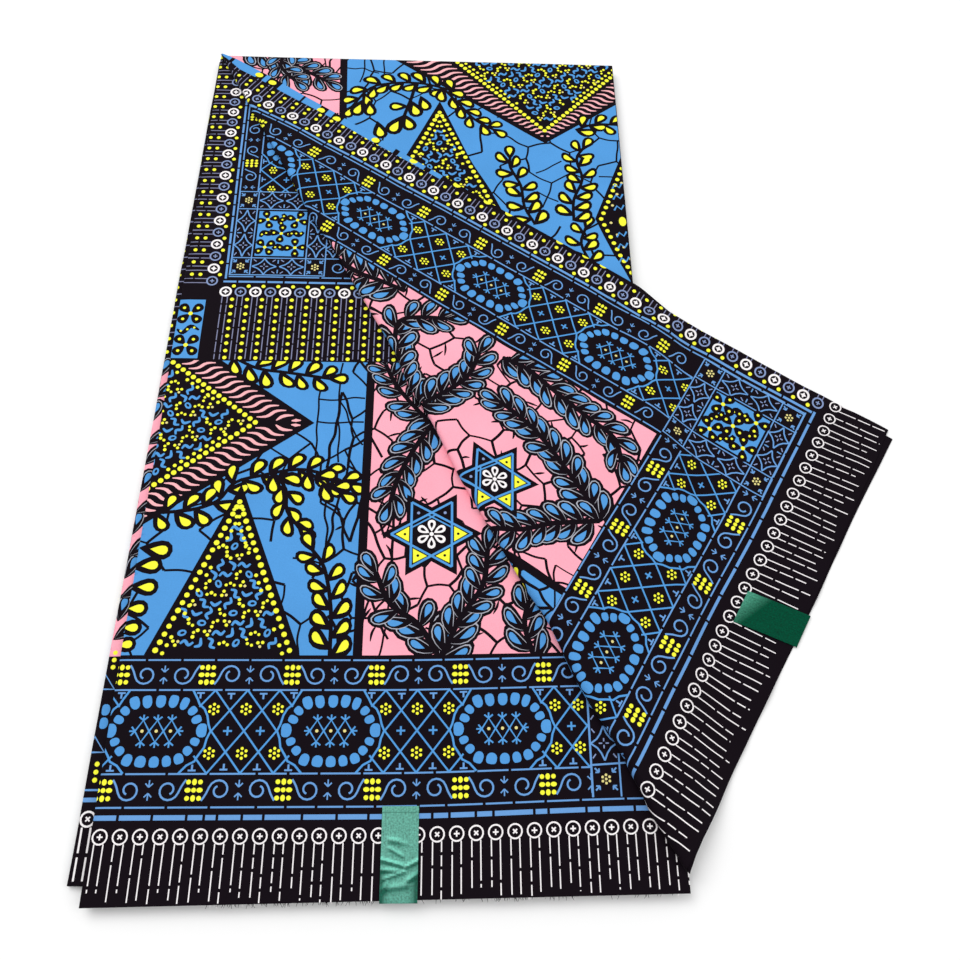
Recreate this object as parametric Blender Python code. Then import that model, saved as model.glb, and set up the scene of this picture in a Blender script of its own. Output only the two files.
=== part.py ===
"""A folded length of ankara, the printed cotton sold as one packet, lying flat.

The cloth is 1.17 m wide and about 5.5 m long. It is folded once across its width,
so both selvedges meet at the front, and then into panels about 0.3 m wide, which make
a low packet. The two plies of the top panel are turned over along a diagonal crease,
from the back left corner to the front right one, and their free corner lies on the
table to the right. Two strips of tape are bent over the selvedges.

Everything is first placed in packet coordinates: x to the right from the packet's left
fold, y back from its front selvedge, z up from the table. The last step moves it all,
so that the origin is the centre of the underside of the whole object's box.
"""
import math
from collections import namedtuple

import bmesh
import bpy
from mathutils import Matrix, Vector

MM = 0.001

# The packet
PACKET_WIDTH = 297.5 * MM
PACKET_LENGTH = 585.0 * MM
STACK_HEIGHT = 7.5 * MM
CORNER_RADIUS = 2.2 * MM
CORNER_STEPS = 4
FOLD_ROUNDING = 0.35 * MM
FOLD_GROOVE = 0.9 * MM
EDGE_ROUNDING_SHARE = 0.12
WIDTH_PIECES = 4
LENGTH_PIECES = 8

# Cloth walls, and the space kept between two of them
WALL = 1.0 * MM
GAP = 0.3 * MM

# The diagonal crease, as its outermost line is seen from above
CREASE_BACK = Vector((2.0, 585.5)) * MM
CREASE_FRONT = Vector((296.5, 7.0)) * MM
STRIP_STEP = 24.0 * MM
ROLL_SEGMENTS = 10
SETTLE_LENGTH = 42.0 * MM
SETTLE_SEGMENTS = 4

# Distances for cutting the flat plies: snapping to a corner, joining near corners, and
# the step that a surface's direction is read over
SNAP = 0.02 * MM
MERGE = 0.25 * MM
NORMAL_STEP = 0.05 * MM

# Where the turned cloth leaves the packet, and the run it needs to reach the table
FALL_START = 300.6 * MM
FALL_RUN = 33.0 * MM
FALL_SEGMENTS = 6

# Corners of the turned plies: those at the crease and on the packet before the turn,
# and the free corner after it, all in packet coordinates
PlyCorners = namedtuple("PlyCorners", "back_left back_right front_right free")
OUTER_PLY = PlyCorners((2.0, 585.5), (300.0, 585.0), (297.2, 6.0), (454.6, 269.9))
INNER_PLY = PlyCorners((-3.0, 585.5), (299.0, 584.4), (296.9, 3.2), (456.2, 263.6))

# Tape strips: width, length on the cloth, and the drop over its edge
TAPE_BEND = 0.9 * MM
TAPE_BEND_STEPS = 4
FRONT_TAPE_CENTRE = 152.8 * MM
FRONT_TAPE_WIDTH = 18.3 * MM
FRONT_TAPE_LENGTH = 44.0 * MM
FRONT_TAPE_DROP = 3.6 * MM
FLAP_TAPE_SHARE = 0.455
FLAP_TAPE_WIDTH = 25.5 * MM
FLAP_TAPE_LENGTH = 37.0 * MM
TABLE_CLEARANCE = 0.4 * MM

# Each leaf of the packet that shows at its edges, from the table up. Its sides and ends
# lie this far to the right or to the back of the packet's own, in mm, at their ends.
# The lower leaves lie turned a degree from the upper ones.
Leaf = namedtuple("Leaf", "left_front left_back right_front right_back front_left front_right back")
LEAVES = (
    Leaf(-10.2, -0.6, -9.1, -0.2, 6.9, 1.6, -0.9),
    Leaf(-9.6, 0.2, -8.2, 0.9, 7.6, 2.4, -1.6),
    Leaf(-10.0, -0.2, -8.9, 0.3, 6.8, 2.0, -0.5),
    Leaf(-9.8, 0.4, -8.6, 1.1, 7.2, 1.5, -1.2),
    Leaf(0.9, 2.4, -1.4, 1.3, -1.9, 1.9, -0.7),
    Leaf(0.2, 1.9, -0.7, 2.2, -2.6, 1.5, 0.1),
    Leaf(0.7, 2.8, -1.0, 1.6, -2.1, 2.3, -0.4),
    Leaf(-0.8, 2.2, 0.0, 2.5, -3.2, 1.1, 0.6),
)

# Colours of the print's grounds and of the tape
PRINT_DARK = (0.026, 0.022, 0.030)
PRINT_BLUE = (0.080, 0.180, 0.420)
PRINT_PINK = (0.420, 0.190, 0.230)
TAPE_GREEN = (0.020, 0.330, 0.240)
FLAP_TAPE_GREEN = (0.000, 0.090, 0.050)

CREASE_LENGTH = (CREASE_FRONT - CREASE_BACK).length
ALONG = (CREASE_FRONT - CREASE_BACK).normalized()
ACROSS = Vector((-ALONG.y, ALONG.x))

# Heights of the middle of the two plies: from its middle to either ply's far face, its
# radius where the fold is pressed flat, its height on the packet and on the table
HALF_STACKED = WALL + GAP / 2
FLAT_ROLL = HALF_STACKED + GAP / 2
LOWER_LIMB = STACK_HEIGHT + GAP + HALF_STACKED
ON_TABLE = HALF_STACKED

# The roll at the crease: its radius, half way between the plies, along the crease
RollPoint = namedtuple("RollPoint", "share radius")
ROLL = (
    RollPoint(0.00, 1.6),
    RollPoint(0.45, 2.3),
    RollPoint(0.80, 3.9),
    RollPoint(0.93, 4.1),
    RollPoint(1.00, 2.0),
)


def clear_scene():
    for thing in list(bpy.data.objects):
        bpy.data.objects.remove(thing, do_unlink=True)


def make_material(name, colour, roughness):
    material = bpy.data.materials.new(name)
    material.use_nodes = True
    shader = material.node_tree.nodes["Principled BSDF"]
    shader.inputs["Base Color"].default_value = (*colour, 1.0)
    shader.inputs["Roughness"].default_value = roughness
    shader.inputs["Metallic"].default_value = 0.0
    return material


def finish_object(name, bm, material):
    """Turn a bmesh into a named object with outward faces."""
    bmesh.ops.triangulate(bm, faces=bm.faces[:])
    bmesh.ops.recalc_face_normals(bm, faces=bm.faces[:])
    mesh = bpy.data.meshes.new(name)
    bm.to_mesh(mesh)
    bm.free()
    mesh.materials.append(material)
    thing = bpy.data.objects.new(name, mesh)
    bpy.context.collection.objects.link(thing)
    return thing


def smooth_share(value):
    """0 below 0, 1 above 1, and an even S between."""
    value = min(max(value, 0.0), 1.0)
    return value * value * (3.0 - 2.0 * value)


# The packet: one solid, layered at its edges

def leaf_corners(leaf):
    """The leaf's four corners, from the front left one round to the right."""
    width, length = PACKET_WIDTH / MM, PACKET_LENGTH / MM
    return [corner * MM for corner in (
        Vector((leaf.left_front, leaf.front_left)),
        Vector((width + leaf.right_front, leaf.front_right)),
        Vector((width + leaf.right_back, length + leaf.back)),
        Vector((leaf.left_back, length + leaf.back)),
    )]


def leaf_outline(leaf, inset):
    """One leaf's outline seen from above: straight sides and small round corners."""
    corners = leaf_corners(leaf)
    points = []
    for index, corner in enumerate(corners):
        before = (corner - corners[index - 1]).normalized()
        side = corners[(index + 1) % len(corners)] - corner
        after = side.normalized()
        centre = corner + (CORNER_RADIUS + inset) * (after - before)
        for step in range(CORNER_STEPS):
            angle = math.pi / 2 * step / CORNER_STEPS
            spoke = math.sin(angle) * before - math.cos(angle) * after
            points.append(centre + CORNER_RADIUS * spoke)
        straight = side.length - 2 * (CORNER_RADIUS + inset)
        pieces = LENGTH_PIECES if index % 2 else WIDTH_PIECES
        for step in range(pieces):
            points.append(centre + CORNER_RADIUS * before + after * straight * step / pieces)
    return points


def inner_of(outline_a, outline_b):
    """The groove between two leaves: at each point, the one further in of the two."""
    middle = Vector((PACKET_WIDTH / 2, PACKET_LENGTH / 2))
    groove = []
    for a, b in zip(outline_a, outline_b):
        x = max(a.x, b.x) if a.x < middle.x else min(a.x, b.x)
        y = max(a.y, b.y) if a.y < middle.y else min(a.y, b.y)
        groove.append(Vector((x, y)))
    return groove


def build_stack(material):
    """Rings of corners from the table up: a groove under each leaf, then its rounded edge."""
    thickness = STACK_HEIGHT / len(LEAVES)
    rounding = EDGE_ROUNDING_SHARE * thickness
    rings = []
    for index, leaf in enumerate(LEAVES):
        low = index * thickness
        first, last = index == 0, index == len(LEAVES) - 1
        if not first:
            below = leaf_outline(LEAVES[index - 1], FOLD_GROOVE)
            rings.append((inner_of(below, leaf_outline(leaf, FOLD_GROOVE)), low))
        ends = leaf_outline(leaf, FOLD_ROUNDING)
        rings.append((ends, low if first else low + rounding))
        rings.append((leaf_outline(leaf, 0.0), low + thickness / 2))
        rings.append((ends, low + thickness if last else low + thickness - rounding))
    bm = bmesh.new()
    loops = []
    for outline, height in rings:
        loops.append([bm.verts.new((point.x, point.y, height)) for point in outline])
    for lower, upper in zip(loops, loops[1:]):
        for index, corner in enumerate(lower):
            following = (index + 1) % len(lower)
            bm.faces.new((corner, lower[following], upper[following], upper[index]))
    bm.faces.new(reversed(loops[0]))
    bm.faces.new(loops[-1])
    return finish_object("folded_stack", bm, material)


# The turned plies: flat pieces, cut into strips, then bent over the crease

def roll_radius(s):
    """The roll's radius at a distance s along the crease, between the table's rows."""
    share = min(max(s / CREASE_LENGTH, 0.0), 1.0)
    for before, after in zip(ROLL, ROLL[1:]):
        if share <= after.share:
            blend = (share - before.share) / (after.share - before.share)
            return (before.radius + (after.radius - before.radius) * blend) * MM
    return ROLL[-1].radius * MM


def crease_offset(s):
    """How far the start of the bend lies inside the crease's outermost line."""
    return roll_radius(s) + HALF_STACKED


def flat_from_packet(point):
    """A place on the packet as (s, w): along the crease, and across it from the bend's start."""
    relative = Vector(point) * MM - CREASE_BACK
    s = relative.dot(ALONG)
    return Vector((s, relative.dot(ACROSS) - crease_offset(s)))


def flat_from_turned(point):
    """The same for a place on the turned side, found by unrolling the bend."""
    relative = Vector(point) * MM - CREASE_BACK
    s = relative.dot(ALONG)
    reach = relative.dot(ACROSS) - crease_offset(s)
    return Vector((s, -reach - math.pi * roll_radius(s)))


def turned_reach(s, x):
    """The w at which the turned side, at s along the crease, is over the packet's x."""
    start = CREASE_BACK.x + ALONG.x * s + ACROSS.x * crease_offset(s)
    return -(x - start) / ACROSS.x - math.pi * roll_radius(s)


def bent(s, w):
    """Where the middle of the two plies lies once (s, w) is folded and laid down."""
    radius = roll_radius(s)
    base = CREASE_BACK + ALONG * s + ACROSS * crease_offset(s)
    if w >= 0.0:
        reach, height = w, LOWER_LIMB
    elif w > -math.pi * radius:
        angle = -w / radius
        reach = -radius * math.sin(angle)
        height = LOWER_LIMB + radius * (1.0 - math.cos(angle))
    else:
        reach = -w - math.pi * radius
        settled = smooth_share(reach / SETTLE_LENGTH)
        height = LOWER_LIMB + 2 * (radius + (FLAT_ROLL - radius) * settled)
    place = base + ACROSS * reach
    if w < -math.pi * radius / 2:
        height += (ON_TABLE - height) * smooth_share((place.x - FALL_START) / FALL_RUN)
    return Vector((place.x, place.y, height))


def bent_normal(s, w):
    """The direction away from the inside of the fold, from two short steps."""
    step = NORMAL_STEP
    along = bent(s + step, w) - bent(s - step, w)
    across = bent(s, w + step) - bent(s, w - step)
    return across.cross(along).normalized()


def cut_strip(bm, start, end, line):
    """Cut the strip's faces along the line that joins line(start) and line(end)."""
    faces = [face for face in bm.faces if start < face.calc_center_median().x < end]
    edges = {edge for face in faces for edge in face.edges}
    corners = {vert for face in faces for vert in face.verts}
    low = Vector((start, line(start), 0.0))
    high = Vector((end, line(end), 0.0))
    side = Vector((0, 0, 1)).cross(high - low).normalized()
    bmesh.ops.bisect_plane(bm, geom=[*faces, *edges, *corners], dist=SNAP,
                           plane_co=low, plane_no=side)


def bend_lines():
    """Each line that the flat ply is cut along, as a function of s."""
    lines = []
    for index in range(ROLL_SEGMENTS + 1):
        angle = math.pi * index / ROLL_SEGMENTS
        lines.append(lambda s, angle=angle: -angle * roll_radius(s))
    for index in range(1, SETTLE_SEGMENTS + 1):
        run = SETTLE_LENGTH * index / SETTLE_SEGMENTS
        lines.append(lambda s, run=run: -math.pi * roll_radius(s) - run)
    for index in range(FALL_SEGMENTS + 1):
        x = FALL_START + FALL_RUN * index / FALL_SEGMENTS
        lines.append(lambda s, x=x: min(turned_reach(s, x), -math.pi * roll_radius(s)))
    return lines


def build_ply(name, corners, inside, outside, material):
    """A turned ply: a wall between two distances from the middle of the fold."""
    outline = [
        flat_from_packet(corners.back_left),
        flat_from_turned(corners.free),
        flat_from_packet(corners.front_right),
        flat_from_packet(corners.back_right),
    ]
    bm = bmesh.new()
    bm.faces.new([bm.verts.new((point.x, point.y, 0.0)) for point in outline])
    first = min(point.x for point in outline)
    last = max(point.x for point in outline)
    count = round((last - first) / STRIP_STEP)
    rows = [first + (last - first) * index / count for index in range(count + 1)]
    for row in rows[1:-1]:
        bmesh.ops.bisect_plane(bm, geom=bm.verts[:] + bm.edges[:] + bm.faces[:], dist=SNAP,
                               plane_co=(row, 0, 0), plane_no=(1, 0, 0))
    for line in bend_lines():
        for start, end in zip(rows, rows[1:]):
            cut_strip(bm, start, end, line)
    bmesh.ops.remove_doubles(bm, verts=bm.verts[:], dist=MERGE)
    bmesh.ops.triangulate(bm, faces=bm.faces[:])
    grown = bmesh.ops.extrude_face_region(bm, geom=bm.faces[:])["geom"]
    far_side = {item for item in grown if isinstance(item, bmesh.types.BMVert)}
    for vert in bm.verts:
        s, w = vert.co.x, vert.co.y
        distance = outside if vert in far_side else inside
        vert.co = bent(s, w) + bent_normal(s, w) * distance
    return finish_object(name, bm, material)


# The tape strips

def bent_strip_profile(length, drop, thickness):
    """The side view of a strip that lies flat and bends down over an edge at 0."""
    outer = TAPE_BEND + thickness
    centre = Vector((0.0, -outer))
    bend = [math.pi / 2 * step / TAPE_BEND_STEPS for step in range(TAPE_BEND_STEPS + 1)]
    above = [centre + outer * Vector((math.sin(angle), math.cos(angle))) for angle in bend]
    below = [centre + TAPE_BEND * Vector((math.sin(angle), math.cos(angle))) for angle in bend]
    top = [Vector((-length, 0.0))] + above + [Vector((outer, -drop))]
    underside = [Vector((-length, -thickness))] + below + [Vector((TAPE_BEND, -drop))]
    return top + underside[::-1]


def build_tape(name, edge, outward, seat, length, width, drop, material):
    """A strip seated on cloth at height seat, whose bend starts at the point edge."""
    outward = outward.normalized()
    sideways = Vector((-outward.y, outward.x))
    bm = bmesh.new()
    profile = []
    for out, up in bent_strip_profile(length, drop, WALL):
        place = edge + outward * out - sideways * width / 2
        profile.append(bm.verts.new((place.x, place.y, seat + WALL + up)))
    face = bm.faces.new(profile)
    grown = bmesh.ops.extrude_face_region(bm, geom=[face])["geom"]
    moved = [item for item in grown if isinstance(item, bmesh.types.BMVert)]
    bmesh.ops.translate(bm, verts=moved, vec=(*(sideways * width), 0.0))
    return finish_object(name, bm, material)


def build_front_tape(material):
    left, right = leaf_corners(LEAVES[-1])[:2]
    tape_left = FRONT_TAPE_CENTRE - FRONT_TAPE_WIDTH / 2
    reach = left.lerp(right, (tape_left - left.x) / (right.x - left.x)).y
    edge = Vector((FRONT_TAPE_CENTRE, reach + TAPE_BEND - GAP))
    return build_tape("tape_front", edge, Vector((0, -1)), STACK_HEIGHT + GAP,
                      FRONT_TAPE_LENGTH, FRONT_TAPE_WIDTH, FRONT_TAPE_DROP, material)


def build_flap_tape(material):
    """This one bends over the edges of both plies, where they lie on the table."""
    outer_from, outer_to = (Vector(OUTER_PLY.free) * MM, CREASE_FRONT)
    inner_from = Vector(INNER_PLY.free) * MM
    selvedge = (outer_to - outer_from).normalized()
    outward = Vector((-selvedge.y, selvedge.x))
    place = outer_from + (outer_to - outer_from) * FLAP_TAPE_SHARE
    inner_proud = (inner_from - outer_from).dot(outward)
    edge = place + outward * (inner_proud + GAP - TAPE_BEND)
    seat = ON_TABLE + HALF_STACKED + GAP
    return build_tape("tape_flap", edge, outward, seat,
                      FLAP_TAPE_LENGTH, FLAP_TAPE_WIDTH, seat + WALL - TABLE_CLEARANCE, material)


def centre_on_floor(things):
    """Move every mesh so that the whole object's box stands centred on the origin."""
    corners = [vert.co for thing in things for vert in thing.data.vertices]
    low = Vector([min(corner[axis] for corner in corners) for axis in range(3)])
    high = Vector([max(corner[axis] for corner in corners) for axis in range(3)])
    shift = Vector((-(low.x + high.x) / 2, -(low.y + high.y) / 2, -low.z))
    for thing in things:
        thing.data.transform(Matrix.Translation(shift))
        thing.data.update()


def main():
    clear_scene()
    dark_print = make_material("print_dark", PRINT_DARK, 0.8)
    blue_print = make_material("print_blue", PRINT_BLUE, 0.8)
    pink_print = make_material("print_pink", PRINT_PINK, 0.8)
    tape = make_material("tape_green", TAPE_GREEN, 0.4)
    dark_tape = make_material("tape_dark_green", FLAP_TAPE_GREEN, 0.35)
    half = GAP / 2
    things = [
        build_stack(blue_print),
        build_ply("turned_ply_inner", INNER_PLY, -half - WALL, -half, pink_print),
        build_ply("turned_ply_outer", OUTER_PLY, half, half + WALL, dark_print),
        build_front_tape(tape),
        build_flap_tape(dark_tape),
    ]
    centre_on_floor(things)


main()
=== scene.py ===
"""A folded length of ankara cotton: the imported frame, dressed with its printed cloth.

The cloth's print is drawn flat, in millimetres, as overlapping shapes of plain ink. Each
sheet is then cut into triangles along the edges of those shapes, and laid, folded or
turned over the diagonal crease by the same sums as the frame's own solids.
"""
import math
import random

import bmesh
import bpy
from mathutils import Matrix, Vector, noise
from mathutils.geometry import delaunay_2d_cdt, intersect_point_quad_2d


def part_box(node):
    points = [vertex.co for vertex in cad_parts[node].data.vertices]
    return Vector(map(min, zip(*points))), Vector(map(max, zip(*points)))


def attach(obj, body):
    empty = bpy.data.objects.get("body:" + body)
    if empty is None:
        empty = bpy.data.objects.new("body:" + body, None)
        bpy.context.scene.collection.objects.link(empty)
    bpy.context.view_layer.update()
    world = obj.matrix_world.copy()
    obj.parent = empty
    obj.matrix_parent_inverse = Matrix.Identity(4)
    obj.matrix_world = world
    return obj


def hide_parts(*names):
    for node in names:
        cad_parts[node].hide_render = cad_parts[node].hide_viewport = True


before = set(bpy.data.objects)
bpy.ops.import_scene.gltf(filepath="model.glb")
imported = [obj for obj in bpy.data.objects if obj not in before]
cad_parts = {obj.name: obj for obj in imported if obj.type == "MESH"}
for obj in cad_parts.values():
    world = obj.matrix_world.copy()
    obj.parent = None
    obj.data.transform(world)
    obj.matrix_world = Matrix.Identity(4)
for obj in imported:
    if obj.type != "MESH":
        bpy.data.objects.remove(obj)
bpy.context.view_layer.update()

MM = 0.001

# The frame's sizes, in mm, in packet coordinates: x to the right from the packet's left
# fold, y back from its front selvedge, z up from the table
PACKET_WIDTH = 297.5
PACKET_LENGTH = 585.0
STACK_TOP = 7.5
LEAF = STACK_TOP / 8
TAPE_CENTRE = 152.8
TOP_LEAF = ((-0.8, -3.2), (297.5, 1.1), (300.0, 585.6), (2.2, 585.6))
LOWER_LEAF = ((-9.8, 7.2), (288.9, 1.5), (298.6, 583.8), (0.4, 583.8))
CREASE_BACK = Vector((2.0, 585.5))
CREASE_FRONT = Vector((296.5, 7.0))
OUTER_CORNERS = ((2.0, 585.5), (300.0, 585.0), (295.1, 10.8), (454.6, 269.9))
INNER_CORNERS = ((1.6, 584.6), (299.4, 584.4), (294.6, 8.6), (456.2, 263.6))

# The two turned plies: half the space between them, one ply's thickness, the space left
# under them on the packet and elsewhere, and the height of the middle between them on the
# packet and on the table
PLY_GAP = 0.08
PLY = 0.42
PACKET_SPACE = 0.12
SPACE = 0.1
LOWER_LIMB = STACK_TOP + PACKET_SPACE + PLY_GAP + PLY
ON_TABLE = SPACE + PLY_GAP + PLY

# The turned corner: how far from the crease the roll has flattened and to what radius,
# where the fall to the table starts and how far it runs, and how far the roll's middle
# lies beyond the crease
SETTLE_LENGTH = 42.0
FLAT_ROLL = PLY_GAP + PLY + SPACE
FALL_START = 300.6
FALL_RUN = 33.0
CREASE_REACH = 0.60

# The roll's radius along the crease, from its back end to its front end, how far the
# crease lies to the right of a straight line at places along the packet, and the share of
# such a shift that runs across the crease
ROLL = ((0.0, 1.6), (0.45, 2.3), (0.80, 3.9), (0.93, 4.1), (1.0, 2.0))
CREASE_DRIFT = (
    (0, 0.8), (10, 0.8), (20, 0.5), (29, -0.2), (38, -0.8), (48, 0.1), (70, 1.4), (103, -0.6),
    (141, 2.3), (158, 0.5), (190, -0.4), (228, -1.1), (266, 1.1), (290, -0.6), (320, 3.0),
    (345, 2.3), (397, 1.3), (430, -1.5), (480, -0.5), (586, 0.0),
)
DRIFT_SHARE = 0.89

# The packet's soft unevenness: its waves per mm, and the heights of the coarse and the
# fine waves
RELIEF_WAVES = 0.011
RELIEF_COARSE = 0.28
RELIEF_FINE = 0.10

# A leaf's folded sides: the radius of the fold, the leaf's thickness, and the insets of
# the corners that make the fold round
FOLD_RADIUS = 0.42 * LEAF
LEAF_THICKNESS = LEAF * 0.92
FOLD_INSETS = (0.05, 0.14, 0.26, 0.42, 1.6)

# The print's meshes: the distance between corners where the cloth is flat and where it is
# bent, the distance at which corners join, and twice the least area of a shape
FLAT_STEP = 6.0
BENT_STEP = 1.1
JOIN = 1e-4
LEAST_AREA = 0.02

# The bake map: the margin round each part, and the underside's size beside the face's
BAKE_MARGIN = 0.004
UNDER_SIZE = 0.5

# The space between yarns, the width of the printed tassel lines, and the pitch and height
# that a medallion is drawn for
YARN = 0.62
TASSEL_WIDTH = 0.62
MEDALLION_PITCH = 90.5
MEDALLION_HEIGHT = 42.8

# The tapes: their thickness, their tops' height above the cloth, and their widths
TAPE_THICKNESS = 0.35
TAPE_SEAT = 0.62
FRONT_TAPE_WIDTH = 18.6
FLAP_TAPE_WIDTH = 21.4

# The camera, solved from the packet's outline: sensor in mm, focal length and picture in
# pixels, its place in m and its turn, both in packet coordinates
SENSOR = 36.0
FOCAL = 950
PICTURE = 960
CAMERA_PLACE = (0.173594, -0.023553, 0.516194)
CAMERA_TURN = (
    (0.99926, -0.00808, -0.03757),
    (-0.00946, 0.89580, -0.44435),
    (0.03725, 0.44438, 0.89507),
)

# The light: the white surroundings' strength, and each lamp's name, place, size and power
SURROUNDINGS = 0.62
LAMPS = (
    ("key", (-0.9, 0.7, 1.9), 1.5, 24.0),
    ("fill", (1.3, -0.5, 1.7), 1.8, 11.0),
)

# Inks, as linear colours
INKS = {
    "dark": (0.0052, 0.0024, 0.0052),
    "blue": (0.0850, 0.3150, 0.6900),
    "pink": (1.0000, 0.4050, 0.5000),
    "yellow": (0.9300, 0.9300, 0.0500),
    "white": (0.9000, 0.8600, 0.8700),
    "grey": (0.2350, 0.3100, 0.5300),
    "dusk": (0.2300, 0.2400, 0.3800),
    "pale": (0.9300, 0.4600, 0.4900),
    "straw": (0.7700, 0.6800, 0.2600),
    "sky": (0.1400, 0.3300, 0.6700),
    "mist": (0.4000, 0.4100, 0.4700),
}


def left_of(way):
    """The direction a quarter turn to the left."""
    return Vector((-way.y, way.x))


ALONG = (CREASE_FRONT - CREASE_BACK).normalized()
ACROSS = left_of(ALONG)
CREASE_LENGTH = (CREASE_FRONT - CREASE_BACK).length

# The turned corner's own axes: a along its upper edge from the free corner, b along its
# selvedge to the crease's front end
FREE_CORNER = Vector(OUTER_CORNERS[3])
UPPER_WAY = (CREASE_BACK - FREE_CORNER).normalized()
SELVEDGE_WAY = (CREASE_FRONT - FREE_CORNER).normalized()
FLAP_SHEAR = UPPER_WAY.cross(SELVEDGE_WAY)

tape_low, tape_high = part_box("tape_front")
stack_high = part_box("folded_stack")[1]
SHIFT = Vector((
    (tape_low[0] + tape_high[0]) / 2 - TAPE_CENTRE * MM,
    stack_high[1] - TOP_LEAF[2][1] * MM,
    0.0,
))


def in_frame(x, y, z):
    return Vector((x, y, z)) * MM + SHIFT


def smooth(value):
    value = min(max(value, 0.0), 1.0)
    return value * value * (3.0 - 2.0 * value)


def between(table, at):
    """A value read between the rows of a table of (place, value)."""
    if at <= table[0][0]:
        return table[0][1]
    for (low, before), (high, after) in zip(table, table[1:]):
        if at <= high:
            return before + (after - before) * smooth((at - low) / (high - low))
    return table[-1][1]


def ray(turn, reach=1.0):
    """The x and y of a step in a direction given in degrees."""
    angle = math.radians(turn)
    return reach * math.cos(angle), reach * math.sin(angle)


# Where the cloth lies

def relief(x, y):
    """Soft unevenness that every layer of the packet shares."""
    place = Vector((x * RELIEF_WAVES, y * RELIEF_WAVES, 3.7))
    return RELIEF_COARSE * noise.noise(place) + RELIEF_FINE * noise.noise(place * 3.1)


def roll_radius(s):
    share = min(max(s / CREASE_LENGTH, 0.0), 1.0)
    for (low, before), (high, after) in zip(ROLL, ROLL[1:]):
        if share <= high:
            return before + (after - before) * (share - low) / (high - low)
    return ROLL[-1][1]


def crease_offset(s):
    y = CREASE_BACK.y + ALONG.y * s
    return roll_radius(s) + CREASE_REACH + DRIFT_SHARE * between(CREASE_DRIFT, y)


def flat_from_packet(point):
    relative = Vector(point) - CREASE_BACK
    s = relative.dot(ALONG)
    return Vector((s, relative.dot(ACROSS) - crease_offset(s)))


def flat_from_turned(point):
    relative = Vector(point) - CREASE_BACK
    s = relative.dot(ALONG)
    reach = relative.dot(ACROSS) - crease_offset(s)
    return Vector((s, -reach - math.pi * roll_radius(s)))


def flap_point(a, b):
    return FREE_CORNER + UPPER_WAY * a + SELVEDGE_WAY * b


def flap_axes(point):
    """The turned corner's (a, b) of a packet point."""
    away = Vector(point) - FREE_CORNER
    return away.cross(SELVEDGE_WAY) / FLAP_SHEAR, UPPER_WAY.cross(away) / FLAP_SHEAR


# Soft ridges of the turned corner: a and b of both ends, half width and height, in mm
FLAP_RIDGES = (
    (8, 30, 60, 44, 9, 0.7), (2, 92, 48, 100, 8, 0.6), (0, 128, 55, 120, 12, 1.1),
    (-2, 196, 70, 214, 11, 1.3), (0, 232, 62, 246, 9, 1.0), (5, 270, 70, 262, 8, 0.7),
    (60, 24, 130, 60, 14, 0.7), (120, 20, 165, 55, 12, 1.2), (70, 150, 120, 190, 16, 0.8),
    (150, 8, 185, 30, 8, 1.0), (95, 70, 150, 110, 15, 0.6), (20, 160, 60, 176, 9, 0.6),
)


def ridge_height(ridges, x, y):
    """The height of soft ridges, each from one end to the other, at a place."""
    total = 0.0
    for x0, y0, x1, y1, width, height in ridges:
        run = Vector((x1 - x0, y1 - y0))
        away = Vector((x - x0, y - y0))
        share = away.dot(run) / run.length_squared
        beyond = max(-share, share - 1.0, 0.0) * run.length
        off = abs(away.cross(run)) / run.length
        spread = (off / width) ** 2 + (beyond / (1.6 * width)) ** 2
        if spread < 6.0:
            total += height * math.exp(-spread)
    return total


def bent(s, w):
    """Where the middle of the two plies lies once (s, w) is folded and laid down."""
    radius = roll_radius(s)
    base = CREASE_BACK + ALONG * s + ACROSS * crease_offset(s)
    if w >= 0.0:
        reach, height = w, LOWER_LIMB
    elif w > -math.pi * radius:
        angle = -w / radius
        reach = -radius * math.sin(angle)
        height = LOWER_LIMB + radius * (1.0 - math.cos(angle))
    else:
        reach = -w - math.pi * radius
        settled = smooth(reach / SETTLE_LENGTH)
        height = LOWER_LIMB + 2 * (radius + (FLAT_ROLL - radius) * settled)
    place = base + ACROSS * reach
    if w < -math.pi * radius / 2:
        fallen = smooth((place.x - FALL_START) / FALL_RUN)
        height += (ON_TABLE - height) * fallen
        a, b = flap_axes(place)
        settled = smooth((-w - math.pi * radius) / SETTLE_LENGTH)
        height += (0.35 + 0.65 * fallen) * settled * ridge_height(FLAP_RIDGES, a, b)
        height += (1.0 - fallen) * relief(place.x, place.y)
        height += fallen * 0.25 * abs(noise.noise(Vector((a * 0.03, b * 0.03, 9.1))))
    else:
        height += relief(place.x, place.y)
    return Vector((place.x, place.y, height))


def bent_at(distance):
    """A map from flat (s, w) to the place of a face that far from the plies' middle."""
    step = 0.05

    def place(flat):
        s, w = flat
        along = bent(s + step, w) - bent(s - step, w)
        across = bent(s, w + step) - bent(s, w - step)
        return bent(s, w) + across.cross(along).normalized() * distance
    return place


def spaced(start, end, step):
    """Points from start up to, but not including, end."""
    start, end = Vector(start), Vector(end)
    count = max(1, round((end - start).length / step))
    return [start.lerp(end, k / count) for k in range(count)]


def round_sides(corners, step):
    """Points round a four-sided leaf, each with the way inward from its side."""
    for start, end in zip(corners, corners[1:] + corners[:1]):
        inward = left_of(end - start).normalized()
        for point in spaced(start, end, step):
            yield point, inward


def fold_drop(inside, radius):
    """How far a rounded fold has sunk, at a distance inside its outermost line."""
    inside = min(max(inside, 0.0), radius)
    return radius - math.sqrt(max(radius ** 2 - (radius - inside) ** 2, 0.0))


def folded_depth(corners, point):
    """The distance from a point to the leaf's nearest folded side: right, back or left."""
    return min(
        (corners[1 + side] - corners[(2 + side) % 4]).normalized().cross(
            Vector(point) - corners[1 + side]) * -1.0
        for side in range(3)
    )


# Ink on flat cloth

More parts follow.
